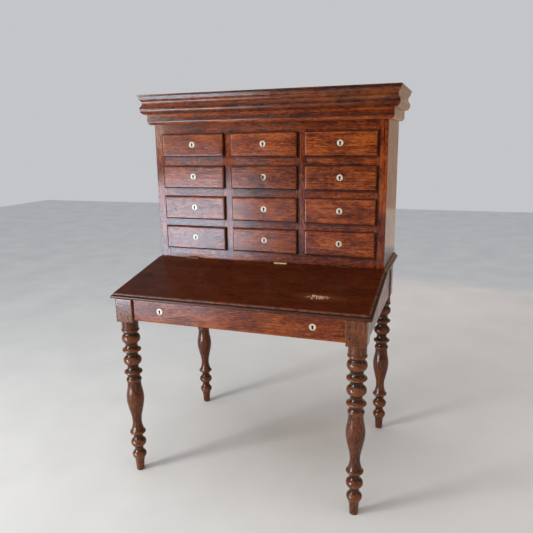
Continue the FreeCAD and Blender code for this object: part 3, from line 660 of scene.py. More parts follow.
def frame_board(low, high, bolts=(), spacing=0.004):
    """Board of the face frame with points every few millimetres, to hold the painted shade beside the fronts.
    Over each of the bolts, given by its box, the underside is lifted into a pocket, deep enough for its travel."""
    size = np.asarray(high) - np.asarray(low)
    axis, wide = (2, 0) if size[2] > size[0] else (0, 2)
    if axis == 2:
        corners = rectangle(low[0], low[1], high[0], high[1])
    else:
        corners = [(high[1], low[2]), (high[1], high[2]), (low[1], high[2]), (low[1], low[2])]
    heights = np.linspace(low[axis] + spacing, high[axis] - spacing, int(size[axis] / spacing))
    walls = [x for a, b in bolts for x in (a.x - bolt_clear - wall_slant, a.x - bolt_clear, b.x + bolt_clear,
                                           b.x + bolt_clear + wall_slant)]
    middle = [(h, 0, 0, np.nan) for h in np.sort(np.concatenate([heights, walls]))]
    rows = eased_rows(low[axis], high[axis], frame_soft, frame_rim, middle)
    grid, worn = stack(outline(corners, frame_soft, frame_rim, fill=int(size[wide] / spacing)), rows, axis)
    shade_by_fronts = painted_shade_beside_fronts(grid[..., 0].ravel(), grid[..., 2].ravel()).reshape(worn.shape)
    x, y, z = grid[..., 0].copy(), grid[..., 1], grid[..., 2].copy()
    for a, b in bolts:
        inside = (x > a.x - bolt_clear - hair) & (x < b.x + bolt_clear + hair)
        inside &= (y > a.y - bolt_clear) & (y < b.y + bolt_clear) & (z < low[2] + hair)
        grid[..., 2] += np.where(inside, bolt_travel + pocket_spare, 0.0)
    # The board edges darken as dark joints, and the strip beside the fronts as painted shade.
    return rings_part(grid, axis, np.minimum(-0.5 * np.abs(worn), 1.4 * shade_by_fronts))


# %% Face frame
front_y, rear_y = frame_low.y, frame_high.y
stile_inner = [drawer_box[1, 1][0].x + lip, drawer_box[1, 3][1].x - lip]
openings_low = drawer_box[4, 1][0].z + lip
openings_high = drawer_box[1, 1][1].z - lip
frame_boards = [
    frame_board((frame_low.x, front_y, frame_low.z), (stile_inner[0], rear_y, frame_high.z)),
    frame_board((stile_inner[1], front_y, frame_low.z), (frame_high.x, rear_y, frame_high.z)),
    frame_board((stile_inner[0], front_y, openings_high), (stile_inner[1], rear_y, frame_high.z),
                [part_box(f"bolt_r1c{c}") for c in columns]),
    frame_board((stile_inner[0], front_y, frame_low.z), (stile_inner[1], rear_y, openings_low)),
]
for c in columns[:-1]:
    left, right = drawer_box[1, c][1].x - lip, drawer_box[1, c + 1][0].x + lip
    frame_boards.append(frame_board((left, front_y, openings_low), (right, rear_y, openings_high)))
for r in rows[1:]:
    for c in columns:
        low_z, high_z = drawer_box[r, c][1].z - lip, drawer_box[r - 1, c][0].z + lip
        left, right = drawer_box[r, c][0].x + lip, drawer_box[r, c][1].x - lip
        frame_boards.append(frame_board((left, front_y, low_z), (right, rear_y, high_z),
                                        [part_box(f"bolt_r{r}c{c}")]))
make_piece("face_frame_boards", frame_boards, case_wood, "carcase", ["face_frame"])
print(len(frame_boards), "boards in the face frame")

# %% [markdown]
# ## The rest of the case
# Two sides and a top board, and five boards nailed upright across the back.

# %% Case sides, top board and back boards
shell_boards = []
for low_x, high_x in ((shell_low.x, shell_low.x + side_thick), (shell_high.x - side_thick, shell_high.x)):
    shell_boards.append(board((low_x, rear_y, shell_low.z), (high_x, shell_high.y, frame_high.z), along=2))
shell_boards.append(board((shell_low.x, shell_low.y, frame_high.z), shell_high))
make_piece("case_sides_and_top", shell_boards, case_wood, "carcase", ["case_shell"])
back_low, back_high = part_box("case_back")
edges = np.linspace(back_low.x, back_high.x, 6)
back_boards = [board((a, back_low.y, back_low.z), (b, back_high.y, back_high.z), soft=0.0014)
               for a, b in zip(edges[:-1], edges[1:])]
make_piece("case_back_boards", back_boards, box_wood, "carcase", ["case_back"])
print(len(shell_boards) + len(back_boards), "boards in the case")

# %% [markdown]
# ## The cornice
# A moulding is a profile that was planed along a board, so here it is a profile carried along the front and
# both sides. At a mitre the profile leaves the case at 45 degrees: the point that stands out by p moves by
# (p, -p). The round stretches are arcs through three points.

# %% Arcs and the two profiles
def arc(start, middle, end, count=9):
    """Points on the circle through three points, from the first to the last. The centre is where the
    bisectors meet, and the sweep is the one that passes the middle point."""
    a, b, c = (np.asarray(p, float) for p in (start, middle, end))
    system = 2 * np.array([b - a, c - a])
    centre = np.linalg.solve(system, [b @ b - a @ a, c @ c - a @ a])
    angles = [math.atan2(*(p - centre)[::-1]) for p in (a, b, c)]
    full = 2 * math.pi
    to_middle, to_end = (angles[1] - angles[0]) % full, (angles[2] - angles[0]) % full
    sweep = to_end if to_middle < to_end else to_end - full
    turn = angles[0] + sweep * np.linspace(0, 1, count)
    radius = np.linalg.norm(a - centre)
    return centre + radius * np.stack([np.cos(turn), np.sin(turn)], 1)


crown_high, frieze_thick, frieze_foot = 0.082, 0.022, 0.016
cornice_low, cornice_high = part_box("cornice")
crown_reach = shell_low.x - cornice_low.x
top, foot = cornice_high.z, cornice_low.z
crown = np.concatenate([
    [(frieze_thick, top - crown_high), (0.030, top - 0.081)],
    arc((0.030, top - 0.081), (0.0445, top - 0.060), (0.0385, top - 0.045), 13)[1:],
    arc((0.0385, top - 0.045), (0.0355, top - 0.035), (0.0435, top - 0.020), 11)[1:],
    [(0.046, top - 0.008), (0.0487, top - 0.0079), (crown_reach, top - 0.0072), (crown_reach, top - 0.0008),
     (crown_reach - 0.0008, top), (0.040, top), (frieze_thick, top)],
])
frieze = np.concatenate([
    [(0.0, foot), (frieze_thick * 0.55, foot)],
    arc((frieze_thick * 0.55, foot), (frieze_thick * 0.85, foot + frieze_foot * 0.35),
        (frieze_thick, foot + frieze_foot), 8)[1:],
    [(frieze_thick, top - crown_high), (frieze_thick, top - 0.0012), (0.0, top - 0.0012)],
])
print("crown profile has", len(crown), "points and the frieze", len(frieze))

# %% Carry the profiles round the case
def hollow_or_edge(profile, span=0.006):
    """How far each profile point stands out from the mean of its neighbours within a span: above zero on an
    edge or crest, below zero in a hollow."""
    apart = np.linalg.norm(profile[:, None] - profile[None], axis=2)
    near = np.exp(-((apart / span) ** 2))
    mean = near @ profile / near.sum(1, keepdims=True)
    centre = profile.mean(0)
    out = np.linalg.norm(profile - centre, axis=1) - np.linalg.norm(mean - centre, axis=1)
    full_wear = 0.0006
    return np.clip(out / full_wear, -1.3, 0.9)


def moulding(profile, start, stop, mitres, along, tone):
    """Rings of a profile from one end to the other. Each end has its point on the case and the direction in
    which the projection moves it, so a mitred end is cut on the slant by itself."""
    share = np.array([0.0, 0.02, 0.25, 0.5, 0.75, 0.98, 1.0])[:, None, None]
    ends = []
    for place, mitre in zip((start, stop), mitres):
        flat = np.array(place) + profile[:, :1] * np.array(mitre)
        ends.append(np.concatenate([flat, profile[:, 1:]], 1))
    grid = ends[0] * (1 - share) + ends[1] * share
    return rings_part(grid, along, hollow_or_edge(profile), tone)


left_x, right_x, case_y, far_y = shell_low.x, shell_high.x, shell_low.y, shell_high.y
cornice_parts = []
# The frieze gets a light tone and the crown a dark one: painted light, for a frieze lit by the window and a crown
# in shade. The profiles' hollows come out dark as dirt and as painted shade in the coves.
for profile, tone in ((frieze, 1.5), (crown, -0.30)):
    cornice_parts += [
        moulding(profile, (left_x, case_y), (right_x, case_y), ((-1, -1), (1, -1)), 0, tone),
        moulding(profile, (left_x, case_y), (left_x, far_y), ((-1, -1), (-1, 0)), 1, tone),
        moulding(profile, (right_x, case_y), (right_x, far_y), ((1, -1), (1, 0)), 1, tone),
    ]
make_piece("cornice_mouldings", cornice_parts, case_wood, "carcase", ["cornice"], sharp=40)
print(len(cornice_parts), "lengths of moulding")

# %% [markdown]
# ## The small drawers
# A front is a lip with a quarter-round edge, and behind it a thinner board fits the opening. The lip's rings
# run from the back, round the edge and over the face, and then close in on the keyhole plate, where they go
# down into the wood, so there is a real hole behind the plate.

# %% Drawer fronts
plate_radius = 0.0125       # the bone plate round the keyhole
plate_thick = 0.0025
plate_proud = 0.001
hole_radius = 0.007         # the hole bored behind the plate
front_round, front_soft, front_rim = 0.008, 0.0007, 0.005
dirt_wide = 0.0025          # dirt stays this far round a plate
seat_clear = 0.0001         # between the plate and its seat
bore_stop = 0.001           # wood left behind the bored hole


def circle_rings(shape_ring, centre, radius, heights):
    """Rings on a circle whose points keep the bearing that the outline's points have from its centre."""
    bearing = shape_ring - np.asarray(centre)
    bearing = bearing / np.linalg.norm(bearing, axis=1, keepdims=True)
    flat = np.asarray(centre) + radius * bearing
    ones = np.ones((len(flat), 1))
    return [np.concatenate([flat[:, :1], ones * h, flat[:, 1:]], 1) for h in heights]


def pierced_front(low, high, hole, rounding, soft=front_soft, rim=front_rim, **finish):
    """Front board, its face at the lower y, with its edge rounded towards the face and a bored seat for a plate
    at hole = (x, z)."""
    shape = outline(rectangle(low[0], low[2], high[0], high[2]), soft, rim, fill=11)
    turn = np.linspace(0, math.pi / 2, 7)
    face = low[1]
    # The lip's back and sides carry minus one and come out dark: painted shade on the sides, with dirt.
    rows = [(high[1], 0.5 * soft, 0, -1.0), (high[1] - 0.5 * soft, 0, 0, -1.0), (high[1] - 0.003, 0, 0, -0.8)]
    rows += [(face + rounding * (1 - math.sin(a)), 0, rounding * (1 - math.cos(a)),
              1.35 * math.sin(a) ** 4 - 1.0) for a in turn]
    rows.append((face, 0, rounding + rim, 0.0))
    grid, worn = stack(shape, rows, 1)
    ring, seat = shape[0], face + plate_thick - plate_proud
    # The hole's walls and floor carry minus 1.2 and come out dark: painted shade inside the hole, seen through the
    # keyhole. The face darkens towards the plate's edge, as dirt.
    bored = circle_rings(ring, hole, plate_radius + dirt_wide, (face,))
    bored += circle_rings(ring, hole, plate_radius + seat_clear, (face, seat))
    bored += circle_rings(ring, hole, hole_radius, (seat, high[1] - bore_stop))
    grid = np.concatenate([grid, np.array(bored)])
    worn = np.concatenate([worn, np.repeat([[0.0], [-1.2], [-1.2], [-1.2], [-1.2]], len(ring), 1)])
    return rings_part(grid, 0, worn, **finish)


# %% [markdown]
# ## Boxes and locks
# Behind every front stands a plain box of thin boards, with an iron lock on the back of the front. The lock's
# bolt is a CAD node that slides up, so the lock has a channel for it.

# %% Drawer boxes and their locks
wall = 0.010
drawer_gap = 0.0015
bottom_thick, bottom_rise = 0.006, 0.004
key_rise = 0.0025
lock_wide, lock_thick, lock_below, channel_clear = 0.046, 0.009, 0.016, 0.0004
lock_soft, channel_soft, lock_rim = 0.0006, 0.0002, 0.001


def drawer_walls(low, high, wall, bottom_low, bottom_high):
    """Two sides, a back on the bottom board, and the bottom board, inside the given limits."""
    inner_low, inner_high = low[0] + wall, high[0] - wall
    return [
        board(low, (inner_low, high[1], high[2])),
        board((inner_high, low[1], low[2]), high),
        board((inner_low, high[1] - wall, bottom_high), (inner_high, high[1], high[2])),
        board((inner_low, low[1], bottom_low), (inner_high, high[1], bottom_high), along=0),
    ]


def lock_case(low, high, bolt_box):
    """Iron case with a channel for its bolt: up the outside, over the rim and down inside the channel."""
    a, b = bolt_box
    case = outline(rectangle(low[0], low[1], high[0], high[1]), lock_soft, lock_rim)
    channel = outline(rectangle(a.x - channel_clear, a.y - channel_clear, b.x + channel_clear,
                                b.y + channel_clear), channel_soft, lock_rim)
    outside = stack(case, eased_end(low[2], 1, lock_soft, lock_rim) + [(high[2], 0, 0, 0.8)], 2)
    inside = stack(channel, [(high[2], 0, 0, 0.0), (a.z - channel_clear, 0, 0, -1.0)], 2)
    return rings_part(np.concatenate([outside[0], inside[0]]), 0, np.concatenate([outside[1], inside[1]]))


tones = dict(zip(drawer_box, (0.45, 0.90, 0.70, 0.55, 0.35, 0.40, 0.30, 0.50, 0.75, 0.25, 0.65, 1.00)))
keyholes = {}
for (r, c), (low, high) in drawer_box.items():
    node = f"drawer_r{r}c{c}"
    x, z = (low.x + high.x) / 2, (low.z + high.z) / 2 + key_rise
    keyholes[r, c] = (x, low.y, z)
    inset = lip + drawer_gap
    box_low = np.array([low.x + inset, low.y + lip_thick + plug_thick, low.z + lip + front_gap])
    box_high = np.array([high.x - inset, high.y, high.z - inset])
    same = {"tone": tones[r, c], "shift": chance.uniform(-9, 9),
            "pith": (chance.uniform(-0.05, 0.05), chance.uniform(0.04, 0.12))}
    front = pierced_front(low, (high.x, low.y + lip_thick, high.z), (x, z), front_round, **same)
    make_piece(f"front_r{r}c{c}", [front], front_wood, node, [node])
    bottom_low = box_low[2] + bottom_rise
    inside = drawer_walls(box_low, box_high, wall, bottom_low, bottom_low + bottom_thick)
    plug_low = (box_low[0], low.y + lip_thick, box_low[2])
    inside.append(board(plug_low, (box_high[0], box_low[1], box_high[2]), along=0))
    make_piece(f"box_r{r}c{c}", inside, box_wood, node, [node])
    case = lock_case((x - lock_wide / 2, box_low[1], z - lock_below),
                     (x + lock_wide / 2, box_low[1] + lock_thick, box_high[2]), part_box(f"bolt_r{r}c{c}"))
    make_piece(f"lock_r{r}c{c}", [case], iron, node, [node])
print(len(drawer_box), "small drawers")

# %% [markdown]
# ## Keyhole plates
# A plate is a ring of bone: a disc outside and a keyhole inside. Both outlines are a distance as a function
# of the bearing, so the ring is a straight blend from one to the other. The keyhole is the farther of a
# circle and a slot, seen from a point inside both.

# %% Keyhole plates
bearing = np.linspace(0, 2 * math.pi, 72, endpoint=False)
rays = np.stack([np.cos(bearing), np.sin(bearing)], 1)
eye_radius, eye_rise, slot_half, slot_low = 0.0040, 0.0018, 0.0026, -0.0080
inner_point = np.array([0.0, -0.0008])


def keyhole_outline():
    """Distance to the circle along each ray: -p.d + sqrt((p.d)^2 - p.p + r^2), and to the slot: the nearest
    of its sides. The larger one is the keyhole's edge."""
    p = inner_point - (0.0, eye_rise)
    along = rays @ p
    to_circle = -along + np.sqrt(along**2 - p @ p + eye_radius**2)
    x, z = np.abs(rays[:, 0]) + 1e-9, rays[:, 1]
    down = np.where(z < -1e-6, (slot_low - inner_point[1]) / np.minimum(z, -1e-6), 1.0)
    up = np.where(z > 1e-6, (eye_rise - inner_point[1]) / np.maximum(z, 1e-6), 1.0)
    to_slot = np.minimum(slot_half / x, np.minimum(down, up))
    return inner_point + rays * np.maximum(to_circle, to_slot)[:, None]


def keyhole_plate(place):
    """Ring of bone round a keyhole: out from the seat, over the rounded rim, in to the hole and back."""
    x, face, z = place
    keyhole = keyhole_outline()
    seat, proud = face + plate_thick - plate_proud, face - plate_proud
    disc = rays * plate_radius
    # The keyhole's walls carry minus one and come out dark: painted shade inside the keyhole, with dirt at its
    # rim.
    steps = [
        (disc, seat, 0.0), (disc, proud + 0.0005, 0.0), (disc * 0.985, proud + 0.0002, 0.0),
        (disc * 0.95, proud + 0.00005, 0.0), (disc * 0.88, proud, 0.0), (keyhole * 1.5, proud, 0.0),
        (keyhole * 1.08, proud + 0.00005, -0.8), (keyhole, proud + 0.0004, -1.0), (keyhole, seat, -1.0),
    ]
    grid = [np.stack([x + flat[:, 0], np.full(len(flat), y), z + flat[:, 1]], 1) for flat, y, _ in steps]
    return rings_part(grid, 2, np.array([[w] for _, _, w in steps]), wrap=True)


for (r, c), place in keyholes.items():
    make_piece(f"plate_r{r}c{c}", [keyhole_plate(place)], bone, f"drawer_r{r}c{c}",
               [f"escutcheon_r{r}c{c}"], even=False)
print(len(keyholes), "bone plates")

# %% [markdown]
# ## The key
# The bow is a torus, the shank a turned rod with a collar, and the bit a small plate under its end. The rings
# of the shank, and of the pegs later, lie about a line along y.

# %% Key
key_low, key_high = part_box("key")
key_x, key_z = keyholes[2, 2][0], keyholes[2, 2][2]
bow_wire, shank_radius, bit_half = 0.0017, 0.0022, 0.0011
bow_radius = key_high.z - key_z - bow_wire
small = np.linspace(0, 2 * math.pi, 20, endpoint=False)
large = np.linspace(0, 2 * math.pi, 48, endpoint=False)[:, None]
bow_y = key_low.y + bow_radius + bow_wire
away = bow_radius + bow_wire * np.cos(small)
bow = np.stack(np.broadcast_arrays(key_x + bow_wire * np.sin(small), bow_y + away * np.cos(large),
                                   key_z + away * np.sin(large)), -1)
shank_start = bow_y + bow_radius - bow_wire / 2
shank_rows = [(shank_start, 0.5), (shank_start + 0.0004, 1.0), (shank_start + 0.004, 1.0),
              (shank_start + 0.0045, 1.45), (shank_start + 0.0062, 1.45), (shank_start + 0.0067, 1.0),
              (key_high.y - 0.0003, 1.0), (key_high.y, 0.85)]


def ring_about(x, z, radius, y):
    """Ring of the given radius about a line along y."""
    return np.stack([x + radius * np.cos(small), np.full(len(small), y), z + radius * np.sin(small)], 1)


shank = [ring_about(key_x, key_z, shank_radius * k, y) for y, k in shank_rows]
bit = board((key_x - bit_half, key_high.y - 0.0038, key_low.z + 0.0035),
            (key_x + bit_half, key_high.y - 0.0002, key_z - 0.001), soft=0.0002, rim=0.0005)
make_piece("drawer_key", [rings_part(bow, wrap=True), rings_part(shank), bit], key_iron, "key",
           ["key"], even=False)
print("the key reaches", round(keyholes[2, 2][1] - key_low.y, 4), "metres out of its drawer")

# %% [markdown]
# ## The wide drawer
# Its front is one long board with two keyholes, so its rings run along it. Where a ring passes a keyhole, the
# points of its front side that are within the bored hole are pushed back into the wood. The bone plate covers
# the slope between the last pushed point and the next.

# %% Front of the wide drawer
wide_low, wide_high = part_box("wide_drawer")
wide_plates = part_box("wide_escutcheons")
wide_thick, wide_round, wide_wall, wide_bottom = 0.020, 0.004, 0.014, 0.008
plate_z = (wide_plates[0].z + wide_plates[1].z) / 2
plate_x = wide_plates[1].x - plate_radius
bored_radius, bored_deep = 0.009, 0.018


def wide_front():
    """Board along x with its lower front edge rounded. A front point moves back by the bored depth where its
    distance from a keyhole is under the bored radius."""
    back_y = wide_low.y + wide_thick
    corners = rectangle(wide_low.y, wide_low.z, back_y, wide_high.z)
    shape = outline(corners, np.array([wide_round] + [front_soft] * 3), front_rim, fill=22)
    near = np.linspace(-plate_radius, plate_radius, 11)
    stations = np.sort(np.concatenate([near - plate_x, near + plate_x, np.linspace(-0.27, 0.27, 9)]))
    rows = eased_rows(wide_low.x, wide_high.x, front_soft, front_rim, [(x, 0, 0, np.nan) for x in stations])
    grid, worn = stack(shape, rows, 0)
    away = np.hypot(np.abs(grid[..., 0]) - plate_x, grid[..., 2] - plate_z)
    bored = (away < bored_radius) & (grid[..., 1] < wide_low.y + hair / 10)
    grid[..., 1] += np.where(bored, bored_deep, 0.0)
    # Bored points carry minus one and come out dark: painted shade inside the holes.
    return rings_part(grid, 0, np.where(bored, -1.0, worn), tone=0.5, shift=2.4, pith=(0.035, 0.06))


make_piece("wide_front", [wide_front()], front_wood, "wide_drawer", ["wide_drawer"])
print("keyholes of the wide drawer at x =", round(-plate_x, 4), "and", round(plate_x, 4))

# %% Box, locks and plates of the wide drawer
box_half, box_tall, bolt_below = 0.3985, 0.0545, 0.0005
box_high_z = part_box("bolt_wide_right")[1].z + bolt_below
box_low_z = box_high_z - box_tall
inside_y = wide_low.y + wide_thick
bottom_z = box_low_z + bottom_rise
wide_box = drawer_walls((-box_half, inside_y, box_low_z), (box_half, wide_high.y, box_high_z), wide_wall, bottom_z,
                        bottom_z + wide_bottom)
make_piece("wide_box", wide_box, box_wood, "wide_drawer", ["wide_drawer"])
wide_locks, wide_plate_parts = [], []
for x, side in ((-plate_x, "left"), (plate_x, "right")):
    wide_locks.append(lock_case((x - lock_wide / 2, inside_y, plate_z - lock_below),
                                (x + lock_wide / 2, inside_y + lock_thick, box_high_z),
                                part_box(f"bolt_wide_{side}")))
    wide_plate_parts.append(keyhole_plate((x, wide_low.y, plate_z)))
make_piece("wide_locks", wide_locks, iron, "wide_drawer", ["wide_drawer"])
make_piece("wide_plates", wide_plate_parts, bone, "wide_drawer", ["wide_escutcheons"], even=False)
print("the wide drawer holds", round(2 * (box_half - wide_wall), 3), "metres across")

# %% [markdown]
# ## Deck and lid
# Both boards have the same moulding on their edges: a bead, a quirk under it and a fat nose. It is a profile
# again, but read as how far each layer of the board reaches outside the one at the top. The corners then
# mitre by themselves, because each ring is the outline moved out by that reach. The edge along the hinges
# isn't moulded, so its weight is zero, and it has a notch round each hinge's knuckles.

# %% Moulded boards
nose_reach, nose_mid, nose_foot = 0.01294, 0.0155, 0.006
lid_thick, deck_thick, lid_gap = 0.022, 0.025, 0.0006
hinge_places = (-0.340, bright_hinge_x, 0.340)
hinge_long, knuckle_radius = 0.056, 0.0036
knuckle_room = knuckle_radius + 0.0006
notch_clear = 0.0005


def middle_of(name, axis):
    """Middle of a CAD node's box along an axis."""
    low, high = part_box(name)
    return (low[axis] + high[axis]) / 2


hinge_y = middle_of("hinge_fixed_leaves", 1)
deck_low, deck_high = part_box("deck_board")
deck_top = deck_high.z
half_board = deck_high.x - nose_reach


def moulded_rows(thick):
    """Rows from the underside up to the top face, for a top at height zero: the nose, the quirk and the bead
    are arcs and steps of (reach, height)."""
    profile = np.concatenate([
        [(nose_foot - 0.0015, -thick), (nose_foot, -thick + 0.0004)],
        arc((nose_foot, -thick + 0.0004), (nose_reach, -nose_mid), (0.002, -0.0092), 15)[1:],
        [(0.002, -0.007), (0.0044, -0.007)],
        arc((0.005, -0.0064), (0.0040, -0.0022), (0.0004, -0.0002), 8),
        [(-0.0012, 0.0), (-0.006, 0.0)],
    ])
    # The quirk carries minus one and comes out dark: painted shade in the groove, with dirt.
    worn = np.interp(profile[:, 1], [-0.022, -nose_mid, -0.0105, -0.0092, -0.007, -0.0064, -0.004, -0.0005, 0],
                     [0.0, 0.8, 0.1, -1.0, -1.0, 0.3, 1.0, 0.9, 0.5])
    worn[-1] = 0.0
    return np.stack([profile[:, 1], np.zeros(len(worn)), -profile[:, 0], worn], 1)


def notched_line(y, deep):
    """Corners of a line along x at y, with a square notch of the given depth round every hinge."""
    half = hinge_long / 2 + notch_clear
    return [(x + side * half, y + inset) for x in hinge_places
            for side, inset in ((-1, 0.0), (-1, deep), (1, deep), (1, 0.0))]


def moulded_board(front_y, rear_y, thick, notch_front):
    """Rings and wear of a moulded board with its top at height zero. The ends are always moulded, and so is
    the front edge if the notches are at the rear."""
    deep = knuckle_room - lid_gap
    front, rear = [(-half_board, front_y), (half_board, front_y)], [(half_board, rear_y), (-half_board, rear_y)]
    if notch_front:
        line = notched_line(front_y, deep)
        corners = [front[0], *line, front[1], *rear]
        weights = [0] * (len(line) + 1) + [1, 0, 1]
    else:
        line = notched_line(rear_y, -deep)[::-1]
        corners = [*front, rear[0], *line, rear[1]]
        weights = [1, 1] + [0] * (len(line) + 1) + [1]
    return stack(outline(corners, 0.0004, 0.006, fill=1, weights=weights), moulded_rows(thick), 2)


deck_grid, deck_worn = moulded_board(hinge_y + lid_gap, deck_high.y, deck_thick, True)
deck_grid[..., 2] += deck_top
make_piece("deck_top", [rings_part(deck_grid, 0, deck_worn)], lid_wood, "carcase", ["deck_board"])
print("the deck is", round(2 * half_board, 3), "metres wide at its top")

# %% [markdown]
# ## The lid
# The lid is made level, like the deck, and then turned about the line where the deck's top meets the hinges.
# Its rear edge has to stand upright when the lid is down, so the layers there are slid forward first, by
# their depth times the tangent of the slope.

# %% Lid
block_half = 0.0365
leg_y = middle_of("leg_front_left", 1)
lid_front_edge, lid_front_top = 0.004, 0.796
top_edge_y = leg_y - block_half + lid_front_edge
slope = math.atan((deck_top - lid_front_top) / (hinge_y - top_edge_y))
run_long = (hinge_y - top_edge_y) / math.cos(slope)
lid_grid, lid_worn = moulded_board(hinge_y - run_long, hinge_y - lid_gap / math.cos(slope), lid_thick, False)
rear_share = np.clip((lid_grid[..., 1] - hinge_y + run_long) / run_long, 0, 1)
lid_grid[..., 1] += lid_grid[..., 2] * math.tan(slope) * rear_share
lid = rings_part(lid_grid, 0, lid_worn, tone=0.5, shift=-3.0, pith=(0.0, 0.09))
ahead, up = lid["points"][:, 1] - hinge_y, lid["points"][:, 2].copy()
lid["points"][:, 1] = hinge_y + ahead * math.cos(slope) - up * math.sin(slope)
lid["points"][:, 2] = deck_top + ahead * math.sin(slope) + up * math.cos(slope)
make_piece("lid_board", [lid], lid_wood, "lid", ["slope_lid"])
print("the lid slopes by", round(math.degrees(slope), 2), "degrees")

# %% [markdown]
# ## The legs
# A leg is a square block over a turning. The turning is a surface of revolution: beads and coves are arcs,
# and the vase is a smooth curve through a few radii. What stands out from its surroundings is rubbed bright,
# and the grooves between the beads are dark with old wax.

# %% Profile of a turned leg
beads = (                   # height of the middle, radius, half height, radius where it ends
    (0.636, 0.0360, 0.007, 0.0320), (0.600, 0.0375, 0.017, 0.0300), (0.550, 0.03797, 0.005, 0.0330),
    (0.504, 0.0370, 0.015, 0.0300), (0.453, 0.0372, 0.005, 0.0330), (0.419, 0.0315, 0.006, 0.0290),
    (0.180, 0.0330, 0.006, 0.0280), (0.131, 0.0320, 0.013, 0.0270), (0.074, 0.0296, 0.013, 0.0240),
)
necks = (0.0285, 0.0247, 0.0238, 0.0226, 0.0258, None, 0.0193, 0.0182)
vase = np.array([(0.0282, 0.406), (0.0355, 0.350), (0.0280, 0.282), (0.0199, 0.216)])
ankle, foot_radius, collar_radius, block_bottom = (0.0186, 0.042), 0.0162, 0.0335, 0.677


def smooth_through(points, count):
    """Natural cubic spline through the points over their chord length: the second derivatives solve a
    tridiagonal system, and each span is a cubic of its two ends."""
    points = np.asarray(points, float)
    t = np.concatenate([[0], np.cumsum(np.linalg.norm(np.diff(points, axis=0), axis=1))])
    h, n = np.diff(t), len(points)
    system, right = np.eye(n), np.zeros((n, 2))
    inner = np.arange(1, n - 1)
    system[inner, inner - 1], system[inner, inner], system[inner, inner + 1] = h[:-1], 2 * (h[:-1] + h[1:]), h[1:]
    slopes = np.diff(points, axis=0) / h[:, None]
    right[1:-1] = 6 * np.diff(slopes, axis=0)
    second = np.linalg.solve(system, right)
    s = np.linspace(0, t[-1], count)
    k = np.clip(np.searchsorted(t, s, "right") - 1, 0, n - 2)
    a, b, w = (t[k + 1] - s)[:, None], (s - t[k])[:, None], h[k][:, None]
    bends = (second[k] * a**3 + second[k + 1] * b**3) / (6 * w)
    return bends + (points[k] / w - second[k] * w / 6) * a + (points[k + 1] / w - second[k + 1] * w / 6) * b


def turned_profile():
    """(radius, height) from the foot to the block, as arcs over the beads and necks and a spline at the vase."""
    lower = [(end, z - half) for z, _, half, end in beads]
    upper = [(end, z + half) for z, _, half, end in beads]
    runs = [np.array([(foot_radius - 0.002, 0.0), (foot_radius - 0.0006, 0.0005), (foot_radius, 0.002)]),
            np.linspace((foot_radius, 0.004), ankle, 8), np.linspace(ankle, lower[-1], 7)[1:]]
    for number in range(len(beads) - 1, -1, -1):
        z, radius = beads[number][:2]
        runs.append(arc(lower[number], (radius, z), upper[number], 11)[1:])
        if number == 0:
            break
        neck, start, stop = necks[number - 1], upper[number], lower[number - 1]
        if neck is None:
            runs.append(smooth_through([start, *vase[::-1], stop], 60)[1:])
        else:
            runs.append(arc(start, (neck, (start[1] + stop[1]) / 2), stop, 12)[1:])
    collar_low = (collar_radius, runs[-1][-1][1] + 0.0002)
    runs.append(np.linspace(collar_low, (collar_radius, block_bottom + 0.001), 6))
    return np.concatenate(runs)


profile = turned_profile()
around_mean = np.interp(profile[:, 1][:, None] + np.linspace(-0.014, 0.014, 9), profile[:, 1], profile[:, 0])
full_wear = 0.0035
leg_worn = np.clip((profile[:, 0] - around_mean.mean(1)) / full_wear, -1, 1)
print("leg profile has", len(profile), "points, radii from", profile[:, 0].min().round(4))

# %% Legs
round_angle = np.linspace(0, 2 * math.pi, 56, endpoint=False)
block_soft = 0.0012
under_lid = 0.0003          # between the lid and what it lies on


def lid_underside(y):
    """Height of the lid's flat underside at y."""
    return deck_top - (hinge_y - y) * math.tan(slope) - lid_thick / math.cos(slope)


def leg_parts(x, y, block_top):
    """Turning about the upright axis at x, y, and the block over it, whose top follows block_top(y)."""
    ring = np.stack([np.cos(round_angle), np.sin(round_angle)], 1)
    grid = np.empty((len(profile), len(ring), 3))
    grid[..., :2] = np.array([x, y]) + profile[:, :1, None] * ring[None]
    grid[..., 2] = profile[:, 1:]
    heart = (chance.uniform(-0.012, 0.012), chance.uniform(-0.012, 0.012))
    same = {"shift": chance.uniform(-9, 9), "pith": heart, "tone": chance.uniform(0.3, 0.8)}
    turning = rings_part(grid, 2, leg_worn[:, None], **same)
    low_y, high_y = y - block_half, y + block_half
    corners = [(low_y, block_bottom), (high_y, block_bottom), (high_y, block_top(high_y)),
               (low_y, block_top(low_y))]
    grid, worn = prism(corners, x - block_half, x + block_half, 0, block_soft)
    block = rings_part(grid, 2, worn, **same)
    block["grain"][:, 0] += block_bottom
    return [turning, block]


for name in (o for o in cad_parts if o.startswith("leg_")):
    x, y = middle_of(name, 0), middle_of(name, 1)
    top_of = (lambda y: lid_underside(y) - under_lid) if "front" in name else (lambda y: deck_low.z)
    make_piece(f"turned_{name}", leg_parts(x, y, top_of), leg_wood, "carcase", [name], sharp=50,
               even=False)
    print(name, "stands at", round(x, 4), round(y, 4))

# %% [markdown]
# ## Aprons and pegs
# The side aprons are one board each, planed to the slope in front. Their ends meet the square blocks. The
# frame behind the wide drawer is pegged through the front blocks, and the pegs' ends stand out by a hair.

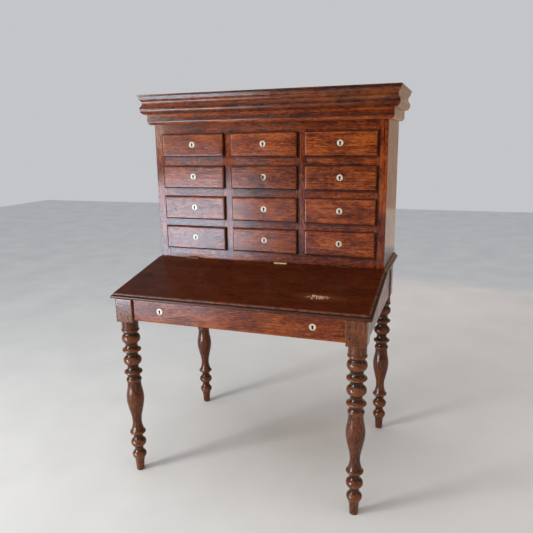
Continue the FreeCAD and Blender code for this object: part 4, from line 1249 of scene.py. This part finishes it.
# %% Aprons
back_of_front_block = leg_y + block_half
front_of_rear_block = middle_of("leg_rear_left", 1) - block_half
for side in ("left", "right"):
    low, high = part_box(f"side_apron_{side}")
    front_top = lid_underside(back_of_front_block) - under_lid
    corners = [(back_of_front_block, low.z), (front_of_rear_block, low.z), (front_of_rear_block, deck_low.z),
               (hinge_y - lid_gap, deck_low.z), (back_of_front_block, front_top)]
    grid, worn = prism(corners, low.x, high.x, 0, rim=0.005)
    make_piece(f"apron_{side}", [rings_part(grid, 1, worn)], case_wood, "carcase",
               [f"side_apron_{side}"])
low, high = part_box("back_apron")
inner_x = abs(middle_of("leg_rear_right", 0)) - block_half
make_piece("apron_back", [board((-inner_x, low.y, low.z), (inner_x, high.y, high.z))], box_wood, "carcase",
           ["back_apron"])
print("aprons reach from y =", round(back_of_front_block, 4), "to", round(front_of_rear_block, 4))

# %% Pegs
peg_low, peg_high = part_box("frame_pegs")
peg_radius, peg_proud = 0.003, 0.0005
peg_parts = []
for x in (peg_low.x + peg_radius, peg_high.x - peg_radius):
    for z in (peg_low.z + peg_radius, peg_high.z - peg_radius):
        steps = [(0.02, 0.98), (0.0003, 1.0), (0.0003, 1.5), (-0.0001, 1.45), (-0.0001, 1.05),
                 (-peg_proud * 0.6, 0.95), (-peg_proud, 0.6)]
        grid = [ring_about(x, z, peg_radius * k, peg_low.y + dy) for dy, k in steps]
        peg_parts.append(rings_part(grid, 1, np.array([[-1.2]] * 5 + [[-0.9], [-0.7]]), tone=0.0))
make_piece("peg_heads", peg_parts, leg_wood, "carcase", ["frame_pegs"], even=False)
print(len(peg_parts), "pegs")

# %% [markdown]
# ## What stays as the CAD model made it
# Runners, guides, partitions, the floor of the well, the frame behind the wide drawer, the bolts and the
# hinges already have their right shape. They only get their finish, with the grain turned to run along them.

# %% Finishes of the CAD nodes
inner_across, inner_along = (
    wood(name, (0.15, 0.08, 0.04), (0.30, 0.18, 0.10), (0.42, 0.27, 0.15), (0.4, 0.25, 0.14), roughness=0.65,
         coat=0.0, turn=(0.0, 0.0, turn))
    for name, turn in (("inner_wood_across", 0.0), ("inner_wood_along", math.pi / 2)))
finish_of = {"case_dividers": inner_along, "desk_floor": inner_across, "front_frame": inner_across,
             "hinge_fixed_leaves": brass, "hinge_lid_leaves": brass}
finish_of.update({name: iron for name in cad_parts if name.startswith("bolt_")})
for name, material in finish_of.items():
    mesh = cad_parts[name].data
    mesh.materials.clear()
    mesh.materials.append(material)
print("left as CAD nodes:", len(finish_of))
